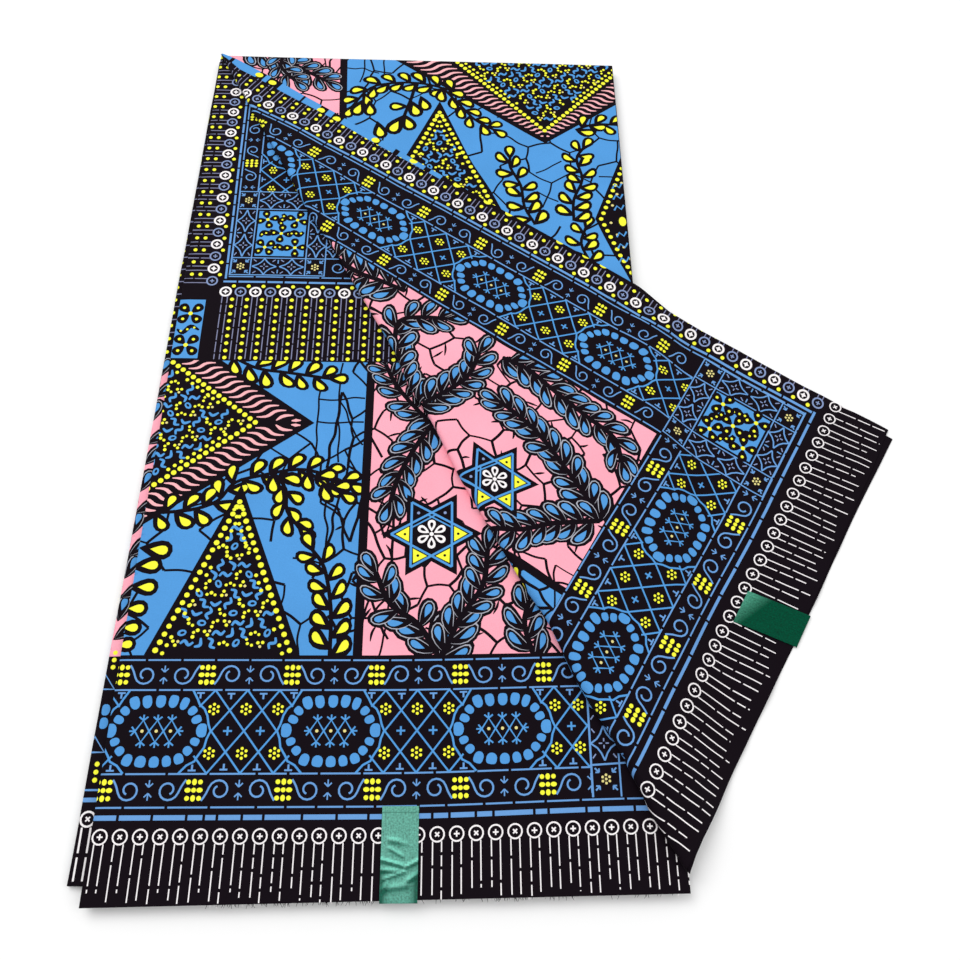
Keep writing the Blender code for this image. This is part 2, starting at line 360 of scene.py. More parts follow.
class Print:
    """Shapes of ink on one sheet, in the order they are printed, in flat mm.

    shows tells whether a place can be seen, and folds whether the sheet is bent there.
    """

    def __init__(self, shows=None, folds=None):
        self.points, self.faces, self.inks = [], [], []
        self.shows, self.folds = shows, folds

    def add(self, corners, ink):
        if self.shows and not any(self.shows(corner) for corner in corners):
            return
        turns = [
            (corners[i] - corners[i - 1]).cross(corners[(i + 1) % len(corners)] - corners[i])
            for i in range(len(corners))
        ]
        if len(corners) == 4 and min(turns) < 0.0 < max(turns):
            self.add(corners[:3], ink)
            self.add([corners[0], *corners[2:]], ink)
            return
        area = sum(corners[i - 1].cross(corners[i]) for i in range(len(corners)))
        if abs(area) < LEAST_AREA:
            return
        if area < 0.0:
            corners = corners[::-1]
        start = len(self.points)
        self.points.extend(self.followed(corners))
        self.faces.append(list(range(start, len(self.points))))
        self.inks.append(ink)

    def followed(self, corners):
        """The same shape, with corners close enough to follow the cloth's form."""
        line = []
        for i, corner in enumerate(corners):
            following = corners[(i + 1) % len(corners)]
            part = spaced(corner, following, FLAT_STEP) + [following]
            for before, after in zip(part, part[1:]):
                bent_here = self.folds and (self.folds(before) or self.folds(after))
                line += spaced(before, after, BENT_STEP) if bent_here else [before]
        return line


class Stencil:
    """A place to draw: its own x and y, led through a map into the sheet's flat mm."""

    def __init__(self, sheet, to_flat):
        self.sheet, self.to_flat = sheet, to_flat

    def at(self, x, y, turn=0.0, size=1.0, mirror=False, flip=False):
        """A smaller stencil inside this one, turned by degrees and scaled."""
        across = size * (-1.0 if mirror else 1.0)
        up = size * (-1.0 if flip else 1.0)
        c, s = ray(turn)

        def to_flat(point):
            px, py = point[0] * across, point[1] * up
            return self.to_flat((x + c * px - s * py, y + s * px + c * py))
        return Stencil(self.sheet, to_flat)

    def patch(self, corners, ink):
        self.sheet.add([Vector(self.to_flat(corner)) for corner in corners], ink)

    def box(self, x0, y0, x1, y1, ink):
        """A rectangle, with extra corners along it so that it follows a curved map."""
        long_x = abs(x1 - x0) >= abs(y1 - y0)
        low, high = (x0, x1) if long_x else (y0, y1)
        longest = 25
        steps = max(1, round(abs(high - low) / longest))
        marks = [low + (high - low) * i / steps for i in range(steps + 1)]
        for start, end in zip(marks, marks[1:]):
            if long_x:
                x0, x1 = start, end
            else:
                y0, y1 = start, end
            self.patch([(x0, y0), (x1, y0), (x1, y1), (x0, y1)], ink)

    def oval(self, x, y, rx, ry, ink, turn=0.0, sides=12):
        c, s = ray(turn)
        corners = []
        for i in range(sides):
            angle = 2 * math.pi * (i + 0.5) / sides
            px, py = rx * math.cos(angle), ry * math.sin(angle)
            corners.append((x + c * px - s * py, y + s * px + c * py))
        self.patch(corners, ink)

    def dot(self, x, y, radius, ink, sides=9):
        self.oval(x, y, radius, radius, ink, sides=sides)

    def bar(self, start, end, width, ink):
        self.stroke([start, end], width, ink)

    def stroke(self, line, width, ink, ends=1.0):
        """A line through points, narrowed to a share of its width at both ends."""
        points = [Vector(point) for point in line]
        last = len(points) - 1
        left, right = [], []
        for i, point in enumerate(points):
            before = (point - points[i - 1]).normalized() if i else None
            after = (points[i + 1] - point).normalized() if i < last else None
            way = ((before or after) + (after or before)).normalized()
            share = ends + (1 - ends) * math.sin(math.pi * i / last) if ends < 1 else 1.0
            side = left_of(way) * width / 2 * share
            left.append(point + side)
            right.append(point - side)
        for i in range(last):
            self.patch([left[i], right[i], right[i + 1], left[i + 1]], ink)

    def dashes(self, start, end, at, width, ink, shortest, longest, gap, seed):
        """A broken line along x, at one y."""
        pick = random.Random(seed)
        x = start
        while x < end:
            reach = min(x + pick.uniform(shortest, longest), end)
            self.box(x, at - width / 2, reach, at + width / 2, ink)
            x = reach + gap

    def drop(self, length, width, ink, start=0.0, bow=0.0, taper=1.1):
        """A teardrop with its point near the stencil's origin, along its x, bowed aside."""
        sides = 14
        angles = [2 * math.pi * i / sides for i in range(sides)]
        swell = [math.sin(angle) * math.sin(angle / 2) ** taper for angle in angles]
        corners = []
        for angle, out in zip(angles, swell):
            x = start + length * (1 - math.cos(angle)) / 2
            corners.append((x, width / 2 * out / max(swell) + bow * x * x / 100))
        self.patch(corners, ink)


# Small motifs, each about its stencil's origin

def rounded_line(line):
    """Points along a smooth curve through the given ones."""
    points = [Vector(point) for point in line]
    ends = [points[0] * 2 - points[1]] + points + [points[-1] * 2 - points[-2]]
    curve = []
    for p0, p1, p2, p3 in zip(ends, ends[1:], ends[2:], ends[3:]):
        for k in range(4):
            t = k / 4
            curve.append(0.5 * (2 * p1 + (p2 - p0) * t + (2 * p0 - 5 * p1 + 4 * p2 - p3) * t * t
                                + (3 * p1 - p0 - 3 * p2 + p3) * t ** 3))
    curve.append(points[-1])
    return curve


def nine_dots(st):
    for column in (-1, 0, 1):
        for row in (-1, 0, 1):
            swell = 1.3 if (column == 0) != (row == 0) else 1.0
            st.oval(column * 3.0, row * 4.0, 1.25 * (swell if row == 0 else 1.0),
                    1.25 * (swell if column == 0 else 1.0), "yellow", sides=9)


def seven_dots(st, ink="yellow", radius=0.85, spread=2.45):
    st.dot(0, 0, radius, ink, sides=7)
    for k in range(6):
        angle = math.pi / 6 + k * math.pi / 3
        st.dot(spread * math.cos(angle), spread * math.sin(angle), radius, ink, sides=7)


def plus(st, size, width, ink):
    st.box(-size, -width / 2, size, width / 2, ink)
    st.box(-width / 2, -size, width / 2, size, ink)


def bead(st, ink, size=1.0, width=1.0, turn=0):
    """A ring with a small cross in it."""
    st.dot(0, 0, 4.1 * size, ink, sides=16)
    st.dot(0, 0, (4.1 - width) * size, "dark", sides=14)
    plus(st.at(0, 0, turn), 1.5 * size, 0.8 * size, ink)


def studded_bead(st):
    """A heavier white ring with a four-pointed centre."""
    st.dot(0, 0, 4.1, "white", sides=16)
    st.dot(0, 0, 2.75, "dark", sides=12)
    reach, waist = 2.1, 0.75
    st.patch([(reach, 0), (waist, waist), (0, reach), (-waist, waist), (-reach, 0),
              (-waist, -waist), (0, -reach), (waist, -waist)], "white")


def scroll(st):
    """A tail that climbs into a curl and coils inside it."""
    line = [(-8.4, -5.2), (-7.3, -3.6), (-6.2, -1.6)]
    for k in range(18):
        x, y = ray(166 - 24 * k, 5.4 - 0.19 * k)
        line.append((x + 0.2, y))
    st.stroke(line, 1.0, "sky")


def twin_arrows(st):
    for way in (1, -1):
        tip = way * 1.5
        for start in ((0, way * 5.0), (-1.9, tip + way * 1.9), (1.9, tip + way * 1.9)):
            st.bar(start, (0, tip), 0.7, "sky")


def forked_tip(st):
    for turn in (-52, 0, 52):
        st.at(0, 0, turn).bar((-0.3, 0), (2.9, 0), 0.85, "blue")


def petal(st, across, deep):
    """A petal about the stencil's origin: round below, flatter at its outer end."""
    corners = []
    for k in range(14):
        angle = 2 * math.pi * (k + 0.5) / 14
        c, s = math.cos(angle), math.sin(angle)
        square = 0.62 if s > 0 else 0.95
        corners.append((across * math.copysign(abs(c) ** square, c),
                        deep * math.copysign(abs(s) ** square, s)))
    st.patch(corners, "blue")


# A medallion's petals above and below its middle, as x, y, half width and half depth,
# those at its right side, with a turn as well, and its outline on the right
MEDALLION_PETALS = (
    (-13, 14.6, 2.8, 3.7), (-6.6, 15.2, 2.7, 3.6), (0.4, 15.4, 2.8, 3.5), (7, 15.4, 2.7, 3.6),
    (12.8, 14.2, 2.3, 3.6), (-12.8, -14.6, 2.8, 3.3), (-6, -15.4, 3.1, 3.1),
    (0.9, -15.6, 2.8, 3.0), (7.2, -15.2, 2.5, 3.0), (13.2, -14, 2.7, 2.9),
)
MEDALLION_SIDES = (
    (17.4, 10.4, 2.3, 2.7, -48), (20.0, 5.9, 2.3, 2.8, -66), (23.2, 0.3, 3.9, 2.9, -90),
    (20.4, -5.4, 2.2, 2.6, -112), (17.2, -10.0, 2.5, 2.5, -132),
)
MEDALLION_OUTLINE = (
    (16.5, 21.4), (19.4, 16.6), (20.8, 13.8), (23.6, 11.4), (25.4, 8.0), (26.6, 3.2),
    (28.0, 0.0), (26.4, -4.0), (25.6, -8.4), (22.6, -13.0), (21.4, -15.4), (17.6, -17.4),
    (14.0, -21.4),
)


def medallion(st):
    """Blue petals round a small lattice, in a scalloped line."""
    for side in (1, -1):
        st.stroke([(side * x, y) for x, y in MEDALLION_OUTLINE], 1.1, "blue")
        for x, y, across, deep, turn in MEDALLION_SIDES:
            petal(st.at(side * x, y, side * turn), across * 0.93, deep * 0.95)
    for x, y, across, deep in MEDALLION_PETALS:
        petal(st.at(x, y, -x * 1.6 if y > 0 else 180 + x * 1.6), across * 0.92, deep * 0.95)
    for way in (1, -1):
        st.stroke([(-11.0, 0), (-7.3, way * 5.6), (-3.7, 0), (0, -way * 5.6), (3.7, 0),
                   (7.3, way * 5.6), (11.0, 0)], 0.85, "blue")
        st.stroke([(-3.7, 0), (0, way * 5.6), (3.7, 0)], 0.85, "blue")
        for x in (-7.3, 0, 7.3):
            forked_tip(st.at(x, way * 5.6, way * 90))
        forked_tip(st.at(way * 11.0, 0, 90 - way * 90))
    for x in (-7.3, 0, 7.3):
        st.dot(x, 0, 0.9, "straw", sides=7)


def tee(st):
    st.bar((-2.0, 1.3), (2.0, 1.3), 0.9, "sky")
    st.bar((0, 1.3), (0, -1.6), 1.0, "sky")


def lattice(st):
    """Crossed lines between two medallions, with dotted flowers and small crosses."""
    for side in (1, -1):
        for way in (1, -1):
            for line in (((17, 21.4), (8.5, 10.7), (0, 0)), ((0, 21.4), (8.5, 10.7), (17, 0)),
                         ((17, 21.4), (24.5, 12.6))):
                st.stroke([(side * x, way * y) for x, y in line], 0.95, "blue")
            for x, y in ((8.5, 18.2), (24.6, 18.6)):
                tee(st.at(side * x, way * y, flip=way < 0))
            seven_dots(st.at(side * 16.8, way * 11.4))
        plus(st.at(side * 8.5, 0), 2.3, 1.0, "blue")
    for way in (1, -1):
        seven_dots(st.at(0, way * 11.4))


def star_cell(st, width, height):
    """A four-pointed star with hollow sides, and a broken cross inside it."""
    for a, b in ((1, 1), (-1, 1), (-1, -1), (1, -1)):
        w, h = a * width / 2, b * height / 2
        st.stroke([(w, 0), (w * 0.52, h * 0.26), (w * 0.24, h * 0.56), (0, h)], 0.9, "sky")
        st.bar((w * 0.66, h * 0.62), (w * 0.9, h * 0.86), 0.7, "grey")
    for turn in (0, 90, 180, 270):
        st.at(0, 0, turn).bar((0.9, 0), (2.7, 0), 0.75, "grey")


def flower_cell(st, width, height):
    seven_dots(st, "straw", 0.75, 2.1)
    for a in (1, -1):
        for b in (1, -1):
            arrow = st.at(a * width * 0.33, b * height * 0.33, math.degrees(math.atan2(b, a)))
            for end, wide in (((1.5, 0), 0.9), ((-0.2, 1.4), 0.8), ((-0.2, -1.4), 0.8)):
                arrow.bar((-1.6, 0), end, wide, "sky")


def petal_flower(st, size):
    """Four dark petals with yellow eyes."""
    for k in range(4):
        petal_place = st.at(0, 0, 45 + 90 * k, size)
        petal_place.drop(6.9, 4.9, "dark", start=0.4)
        petal_place.dot(4.6, 0, 0.8, "yellow", sides=7)
    st.dot(0, 0, 1.1 * size, "yellow")


def corner_square(st, width, height, seed):
    """A blue square with small dark petals and yellow dots."""
    pick = random.Random(seed)
    st.box(-width / 2, -height / 2, width / 2, height / 2, "blue")
    for column in (-1, 0, 1):
        for row in (-1, 0, 1):
            spot = st.at(column * width * 0.31, row * height * 0.31, pick.uniform(0, 90),
                         width / 36)
            if (column + row) % 2:
                spot.stroke(rounded_line([(-5.4, -1.3), (-1.8, 1.5), (2.0, -1.3), (5.6, 1.3)]),
                            5.0, "dark", ends=0.5)
                for x, y in ((-3.4, 0.4), (0, 0.2), (3.6, 0)):
                    spot.dot(x, y, 0.8, "yellow", sides=7)
            else:
                petal_flower(spot, 1.22)


def corner_cells(st, columns, rows):
    """Nine cells: flowers at the corners, stars between and a blue square in the middle.

    columns and rows hold the four lines of the grid, from its low side to its high one.
    """
    (x0, x1, x2, x3), (y0, y1, y2, y3) = columns, rows
    for x in columns:
        st.box(x - 0.4, y0 - 0.4, x + 0.4, y3 + 0.4, "sky")
    for y in rows:
        st.box(x0 - 0.4, y - 0.4, x3 + 0.4, y + 0.4, "sky")
    for bottom, top in ((y0, y1), (y2, y3)):
        for low, high in ((x0, x1), (x2, x3)):
            flower_cell(st.at((low + high) / 2, (bottom + top) / 2), high - low, top - bottom)
    middle_x, middle_y = (x1 + x2) / 2, (y1 + y2) / 2
    half_x, half_y = (x2 - x1) / 2, (y2 - y1) / 2
    for bottom, top in ((y0, y1), (y2, y3)):
        for k in (0.5, 1.5):
            star_cell(st.at(x1 + half_x * k, (bottom + top) / 2), half_x - 2, top - bottom - 1)
        for start, end in ((bottom + 1.5, bottom + 4.5), (top - 4.5, top - 1.5)):
            st.bar((middle_x, start), (middle_x, end), 0.8, "sky")
    for low, high in ((x0, x1), (x2, x3)):
        for k in (0.5, 1.5):
            star_cell(st.at((low + high) / 2, y1 + half_y * k, 90), half_y - 2, high - low - 1)
        for start, end in ((low + 1.5, low + 4.5), (high - 4.5, high - 1.5)):
            st.bar((start, middle_y), (end, middle_y), 0.8, "sky")
    corner_square(st.at(middle_x, middle_y), x2 - x1 - 3.6, y2 - y1 - 3.6, x0)


# Bands of the border. Each runs along its stencil's x, and y points into the cloth.

def tassel(st, pick, x, top, low, lengths, gap, ink):
    """A broken line from a ring down towards the edge."""
    while top > low:
        reach = max(top - pick.choice(lengths), low)
        st.bar((x, top), (x, reach), TASSEL_WIDTH, ink)
        top = reach - gap


def selvedge_fringe(st, first, last, pitch, bead_y, edge_y, seed, upright=0):
    """White rings, each with two broken lines down to the selvedge."""
    pick = random.Random(seed)
    for k in range(round((last - first) / pitch) + 1):
        x = first + pitch * k
        for side in (-2.25, 2.25):
            low = edge_y + pick.choice((0.0, 1.0, 2.5, 5.0))
            tassel(st, pick, x + side, bead_y - 3.4, low, (5, 8, 11, 14, 19), 1.6, "white")
        bead(st.at(x, bead_y), "white", 0.96, 0.85, 0 if k % 2 == upright else 45)


def dotted_fringe(st, first, last, pitch, bead_y, low_y, seed, dots, start_white=False):
    """White and grey rings in turn, with yellow dots between them and broken grey lines."""
    pick = random.Random(seed)
    for k in range(round((last - first) / pitch) + 1):
        x = first + pitch * k
        for side in (-1.7, 1.7):
            tassel(st, pick, x + side, bead_y - 3.4, low_y, (6, 8, 11, 15), 1.3, "dusk")
        for y in (4.6, *dots):
            if bead_y + y > low_y:
                st.dot(x + pitch / 2, bead_y + y, 1.35, "yellow")
        if (k % 2 == 0) == start_white:
            studded_bead(st.at(x, bead_y))
        else:
            bead(st.at(x, bead_y), "grey", 0.95, 1.1)


def scroll_band(st, first, last, pitch, middle, size, ends, start=0):
    """Pairs of scrolls and small arrows between squares of nine dots, inside two ends."""
    count = math.ceil((last - first) / pitch)
    for k in range(count + 1):
        x = first + pitch * k
        if ends[0] < x < ends[1]:
            nine_dots(st.at(x, middle, size=size))
    for k in range(count):
        centre = first + pitch * k + pitch / 2
        flip = (k + start) % 2 == 1
        for x, mirror in ((centre - 10.0, False), (centre + 10.0, True)):
            if ends[0] < x < ends[1]:
                scroll(st.at(x, middle, size=size, mirror=mirror, flip=flip))
        if ends[0] < centre < ends[1]:
            twin_arrows(st.at(centre, middle, size=size))


def thin_line(st, first, last, at, seed):
    st.dashes(first, last, at, 0.9, "sky", 11, 24, 1.5, seed)


def medallion_band(st, first, last, pitch, middle, height, start):
    """Medallions and lattices in turn; start is the place of one medallion."""
    scale_x, scale_y = pitch / MEDALLION_PITCH, height / MEDALLION_HEIGHT
    k = math.floor((first - start) / pitch)
    while start + pitch * k < last + pitch:
        for x, motif in ((start + pitch * k, medallion), (start + pitch * (k + 0.5), lattice)):
            def to_flat(point, x=x):
                return st.to_flat((x + point[0] * scale_x, middle + point[1] * scale_y))
            if first - 30 < x < last + 30:
                motif(Stencil(st.sheet, to_flat))
        k += 1


# Leaves, sprays and the large figures

# A leaf is these drops of ink: length, width, ink, start and taper
YELLOW_LEAF = ((16.6, 9.9, "dark", -1.7, 1.25), (8.6, 4.6, "yellow", 3.9, 1.5))
BLUE_LEAF = ((21.4, 12.4, "dark", -1.8, 0.9), (18.6, 8.2, "mist", -0.8, 1.05),
             (17.9, 6.9, "dark", -0.8, 1.05), (9.2, 4.2, "blue", 6.4, 1.3))


def leaf(st, drops, bow=0.0):
    for length, width, ink, start, taper in drops:
        st.drop(length, width, ink, start=start, bow=bow, taper=taper)


def spray(st, stem, drops, pitch, size, seed, fan):
    """Leaves on both sides of a stem, which is a line of points from its root to its tip.

    The dark grounds of all the leaves are printed before the rest of them.
    """
    pick = random.Random(seed)
    points = rounded_line(stem)
    lengths = [0.0]
    for before, after in zip(points, points[1:]):
        lengths.append(lengths[-1] + (after - before).length)
    count = max(1, round(lengths[-1] / (pitch * size)))

    def on_stem(share):
        at = max(share, 0.0) * lengths[-1]
        i = 1
        while i < len(points) - 1 and lengths[i] < at:
            i += 1
        way = points[i] - points[i - 1]
        part = (at - lengths[i - 1]) / (lengths[i] - lengths[i - 1])
        return points[i - 1].lerp(points[i], part), math.degrees(math.atan2(way.y, way.x))
    leaves = []
    for k in range(count):
        for side in (1, -1):
            share = (k + (0.50 if side > 0 else 0.05)) / count
            place, way = on_stem(share)
            turn = way + side * (fan + pick.uniform(-8, 8))
            swell = size * (1.0 - 0.12 * share) * pick.uniform(0.94, 1.06)
            leaves.append((st.at(place.x, place.y, turn, swell),
                           -side * pick.uniform(0.4, 2.2)))
    place, way = on_stem(0.98)
    leaves.append((st.at(place.x, place.y, way + pick.uniform(-12, 12), size * 0.9), 0.0))
    for part in (drops[:1], drops[1:]):
        for spot, bow in leaves:
            leaf(spot, part, bow)
    st.stroke(points, (3.2 if drops is BLUE_LEAF else 2.3) * size, "dark")


def sprays(st, drops, rows):
    """Sprays of one kind of leaf; a row is pitch, size, seed and fan, then the stem."""
    for pitch, size, seed, fan, *stem in rows:
        spray(st, stem, drops, pitch, size, seed, fan)


def loose_leaves(st, drops, rows):
    for x, y, turn, size in rows:
        leaf(st.at(x, y, turn, size), drops)


def vein(st, line, width=1.15, taper=1.0):
    """A wax crack: a line with small, uneven bends."""
    pick = random.Random(round(line[0][0] * 7 + line[0][1] * 3))
    points = []
    for before, after in zip(line, line[1:]):
        start, end = Vector(before), Vector(after)
        steps = max(2, round((end - start).length / 8))
        side = left_of(end - start).normalized()
        for k in range(steps):
            bend = pick.uniform(-1.0, 1.0) if k else 0.0
            points.append(start.lerp(end, k / steps) + side * bend)
    points.append(Vector(line[-1]))
    st.stroke(rounded_line(points), width, "dark", ends=taper)


def crackle(st, low, high, cell, seed, width=1.0, share=0.88, spurs=0.0):
    """Wax cracks all over a field: the borders between cells round scattered points."""
    pick = random.Random(seed)
    seeds = []
    for i in range(-1, round((high[0] - low[0]) / cell) + 2):
        for j in range(-1, round((high[1] - low[1]) / cell) + 2):
            seeds.append(Vector((
                low[0] + cell * (i + 0.5 * (j % 2) + pick.uniform(-0.5, 0.5)),
                low[1] + cell * (j + pick.uniform(-0.5, 0.5)))))
    corners, _, triangles, _, _, _ = delaunay_2d_cdt(seeds, [], [], 0, JOIN, True)
    middles, sides = [], {}
    for index, triangle in enumerate(triangles):
        middles.append(sum((corners[k] for k in triangle), Vector((0, 0))) / 3)
        for k in range(3):
            sides.setdefault(frozenset((triangle[k - 1], triangle[k])), []).append(index)
    for pair in sides.values():
        if len(pair) == 2 and pick.random() < share:
            start, end = middles[pair[0]], middles[pair[1]]
            vein(st, [start, end], width * pick.uniform(0.8, 1.25))
            if pick.random() < spurs:
                root = start.lerp(end, pick.uniform(0.3, 0.7))
                way = left_of(end - start).normalized()
                tip = root + (way + (end - start).normalized() * pick.uniform(-0.8, 0.8)) * (
                    cell * pick.choice((-0.42, -0.28, 0.28, 0.42)))
                vein(st, [root, tip], width, taper=0.3)


def six_point_star(st, radius):
    """Two crossed triangles in blue lines, with yellow points and a small white flower."""
    def triangle(size, turn):
        return [ray(turn + 120 * k, size) for k in range(3)]
    for turn in (0, 180):
        st.patch(triangle(radius, turn), "dark")
    line = radius * 0.80
    for k in range(6):
        point = st.at(0, 0, 60 * k)
        near, base, half = line * 0.88, line * 0.555, line * 0.20
        if k in (1, 2):
            point.dot(line * 0.66, 0, 0.95, "grey", sides=7)
            point.bar((line * 0.40, -half * 1.9), (line * 0.40, half * 1.9), 0.9, "blue")
        else:
            point.patch([(near, 0), (base, half), (base, -half)], "yellow")
            point.dot(line * 0.655, 0, 0.85, "dark", sides=7)
    for turn in (0, 180):
        corners = triangle(line, turn)
        for k in range(3):
            st.bar(corners[k], corners[(k + 1) % 3], 1.35, "blue")
    for k in range(6):
        petal_place = st.at(0, 0, 60 * k + 30, radius / 25)
        petal_place.drop(6.4, 4.0, "white", start=1.3)
        petal_place.drop(3.2, 1.6, "dark", start=3.1)
    st.dot(0, 0, 1.3, "white")


def small_motifs(st, inside, half_x, half_y, seed):
    """Little blue and yellow figures in staggered rows, wherever inside allows them."""
    pick = random.Random(seed)
    rows, columns = int(half_y / 5.7) + 1, int(half_x / 6.6) + 1
    for j in range(-rows, rows + 1):
        for i in range(-columns, columns + 1):
            x, y = 6.6 * (i + 0.5 * (j % 2)), 5.7 * j
            if not inside(x, y):
                continue
            spot = st.at(x, y, 60 * ((i + j) % 3) + pick.uniform(-14, 14), 0.85)
            kind = (2 * i + 3 * j) % 7
            if kind in (0, 3):
                for dx, dy in ((-2.6, -0.9), (0, 0.5), (2.6, -0.7)):
                    spot.dot(dx, dy, pick.uniform(1.0, 1.3), "yellow", sides=8)
            elif kind in (1, 4):
                spot.stroke(rounded_line([(-4.1, -1.2), (-1.7, 1.2), (1.4, -1.1), (4.0, 1.2)]),
                            2.1, "blue", ends=0.6)
            elif kind == 2:
                spot.dot(-1.5, 0, 1.15, "yellow", sides=8)
                spot.dot(1.5, 0.6, 1.15, "yellow", sides=8)
                spot.dot(0.2, -2.3, 1.0, "straw", sides=8)
            elif kind == 5:
                spot.oval(0, 0, 3.0, 2.2, "blue", sides=11)
                spot.oval(0.3, 0, 1.5, 0.9, "dark", sides=8)
            else:
                spot.stroke(rounded_line([(-3.6, 1.4), (-0.8, -1.3), (3.4, 0.9)]), 2.2, "blue",
                            ends=0.5)


def dotted_triangle(st, width, height, seed):
    """A dark triangle edged with yellow dots, filled with small blue and yellow motifs."""
    pick = random.Random(seed)
    st.patch([(-width / 2, 0), (width / 2, 0), (0, height)], "dark")
    half = width / 2
    slope = math.hypot(half, height)

    def inside(x, y):
        return 3.6 < y and (half * (1 - y / height) - abs(x)) * height / slope > 8.2
    small_motifs(st.at(0, height * 0.4), lambda x, y: inside(x, y + height * 0.4), half,
                 height * 0.5, seed)
    count = round(slope / 4.9)
    for k in range(count):
        share = (k + 0.6) / count
        for side in (1, -1):
            x = side * (half * (1 - share) - 4.9)
            y = height * share + 0.6
            if side * x > 0.8:
                st.dot(x, y, pick.uniform(1.45, 1.75), "yellow")
                if share > 0.62 or pick.random() < 0.5:
                    st.dot(x - side * 3.9, y - 1.7, 1.15, "yellow", sides=7)
    st.dot(0, height - 11.5, 1.6, "yellow")


def banded_diamond(st, half_x, half_y, gaps, seed):
    """Nested diamonds: slanted pink bars, a row of yellow dots, small motifs inside.

    gaps are the distances between the outer tips and the row of dots, along x and y.
    """
    st.patch([(half_x, 0), (0, half_y), (-half_x, 0), (0, -half_y)], "dark")
    length = math.hypot(half_x, half_y)
    along = Vector((-half_x, half_y)) / length
    inward = Vector((-half_y, -half_x)) / length
    tip = Vector((half_x, 0))
    dots_side, dots_top = Vector((half_x - gaps[0], 0)), Vector((0, half_y - gaps[1]))
    pick = random.Random(seed)
    for mirror in (False, True):
        for flip in (False, True):
            side = st.at(0, 0, mirror=mirror, flip=flip)
            run = -4.0
            while run < length:
                foot = tip + along * run + inward * 3.6
                share = max(run, 0.0) / length
                depth = (gaps[0] * half_y * (1 - share) + gaps[1] * half_x * share) / length - 6.6
                sway = min(2.2, 0.10 * depth)
                bar = [foot + along * (0.8 * depth * k / 8 + sway * math.sin(math.pi * k / 4))
                       + inward * (depth * k / 8) for k in range(9)]
                bar = [point for point in bar if point.x > 0.8 and point.y > 0.8]
                if len(bar) > 2:
                    side.stroke(bar, 1.3 + 0.06 * depth, "pale", ends=0.3)
                run += 4.0 + 0.13 * depth
            steps = round((dots_side - dots_top).length / 4.3)
            for k in range(steps + 1):
                spot = dots_side.lerp(dots_top, k / steps)
                side.dot(spot.x, spot.y, 1.65, "yellow")
                if min(k, steps - k) > steps * 0.30 or pick.random() < 0.25:
                    spot = spot + inward * 3.7 + along * 1.6
                    side.dot(spot.x, spot.y, 1.2, "yellow", sides=7)
    small_motifs(st, lambda x, y: (abs(x) / (half_x - gaps[0] - 9)
                                   + abs(y) / (half_y - gaps[1] - 8) < 1), half_x, half_y, seed)


# Sheets cut along the edges of their print

def extent(points):
    """The low and the high corner of the rectangle round some points."""
    return (Vector((min(p.x for p in points), min(p.y for p in points))),
            Vector((max(p.x for p in points), max(p.y for p in points))))


def grid_points(low, high, step):
    """Points in staggered rows all over a rectangle."""
    columns = max(1, round((high.x - low.x) / step))
    rows = max(1, round((high.y - low.y) / step))
    return [Vector((low.x + (high.x - low.x) * (i + 0.5 * (j % 2)) / columns,
                    low.y + (high.y - low.y) * j / rows))
            for i in range(columns + 1) for j in range(rows + 1)]


def cut_flat(outline, sheet, loose):
    """Triangles of the outline, cut along the print, each with its ink."""
    points = list(outline)
    faces = [list(range(len(outline)))]
    for face in sheet.faces:
        start = len(points)
        points.extend(sheet.points[index] for index in face)
        faces.append(list(range(start, len(points))))
    points.extend(loose)
    verts, _, cut, _, _, covers = delaunay_2d_cdt(points, [], faces, 1, JOIN, True)
    kept, inks = [], []
    for face, over in zip(cut, covers):
        if 0 in over:
            top = max(over)
            kept.append(face)
            inks.append("dark" if top == 0 else sheet.inks[top - 1])
    return verts, kept, inks


def rim_of(faces):
    """The closed line of corners round a patch of faces that all turn the same way."""
    follows = {}
    inner = {(face[i], face[i - 1]) for face in faces for i in range(len(face))}
    for face in faces:
        for i in range(len(face)):
            edge = (face[i - 1], face[i])
            if edge not in inner:
                follows[edge[0]] = edge[1]
    rim = [next(iter(follows))]
    while follows[rim[-1]] != rim[0] and len(rim) < len(follows):
        rim.append(follows[rim[-1]])
    return rim


class Making:
    """A piece's mesh in the making: corners with a flat place, and faces with an ink."""

    def __init__(self, inked=True, baked=False):
        self.bm = bmesh.new()
        self.ink = self.bm.loops.layers.float_color.new("Ink") if inked else None
        self.uv = self.bm.loops.layers.uv.new("OFBake") if baked else None
        self.flat = self.bm.verts.layers.float_vector.new("Flat")

    def corner(self, place, flat):
        vert = self.bm.verts.new(in_frame(*place))
        vert[self.flat] = flat
        return vert

    def face(self, corners, ink=None):
        face = self.bm.faces.new(corners)
        face.smooth = True
        if ink:
            for loop in face.loops:
                loop[self.ink] = (*INKS[ink], 1.0)
        return face

    def strip(self, lower, upper, closed=False, inks=None):
        """Four-sided faces between two rows of corners."""
        count = len(lower)
        for k in range(count if closed else count - 1):
            beside = (k + 1) % count
            self.face((lower[k], lower[beside], upper[beside], upper[k]), inks and inks[k])

    def turn_outward(self):
        bmesh.ops.recalc_face_normals(self.bm, faces=self.bm.faces[:])

    def piece(self, name, material, sharp=40.0):
        mesh = bpy.data.meshes.new(name)
        self.bm.to_mesh(mesh)
        self.bm.free()
        mesh.materials.append(material)
        mesh.set_sharp_from_angle(angle=math.radians(sharp))
        made = bpy.data.objects.new(name, mesh)
        bpy.context.collection.objects.link(made)
        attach(made, "root")
        return made


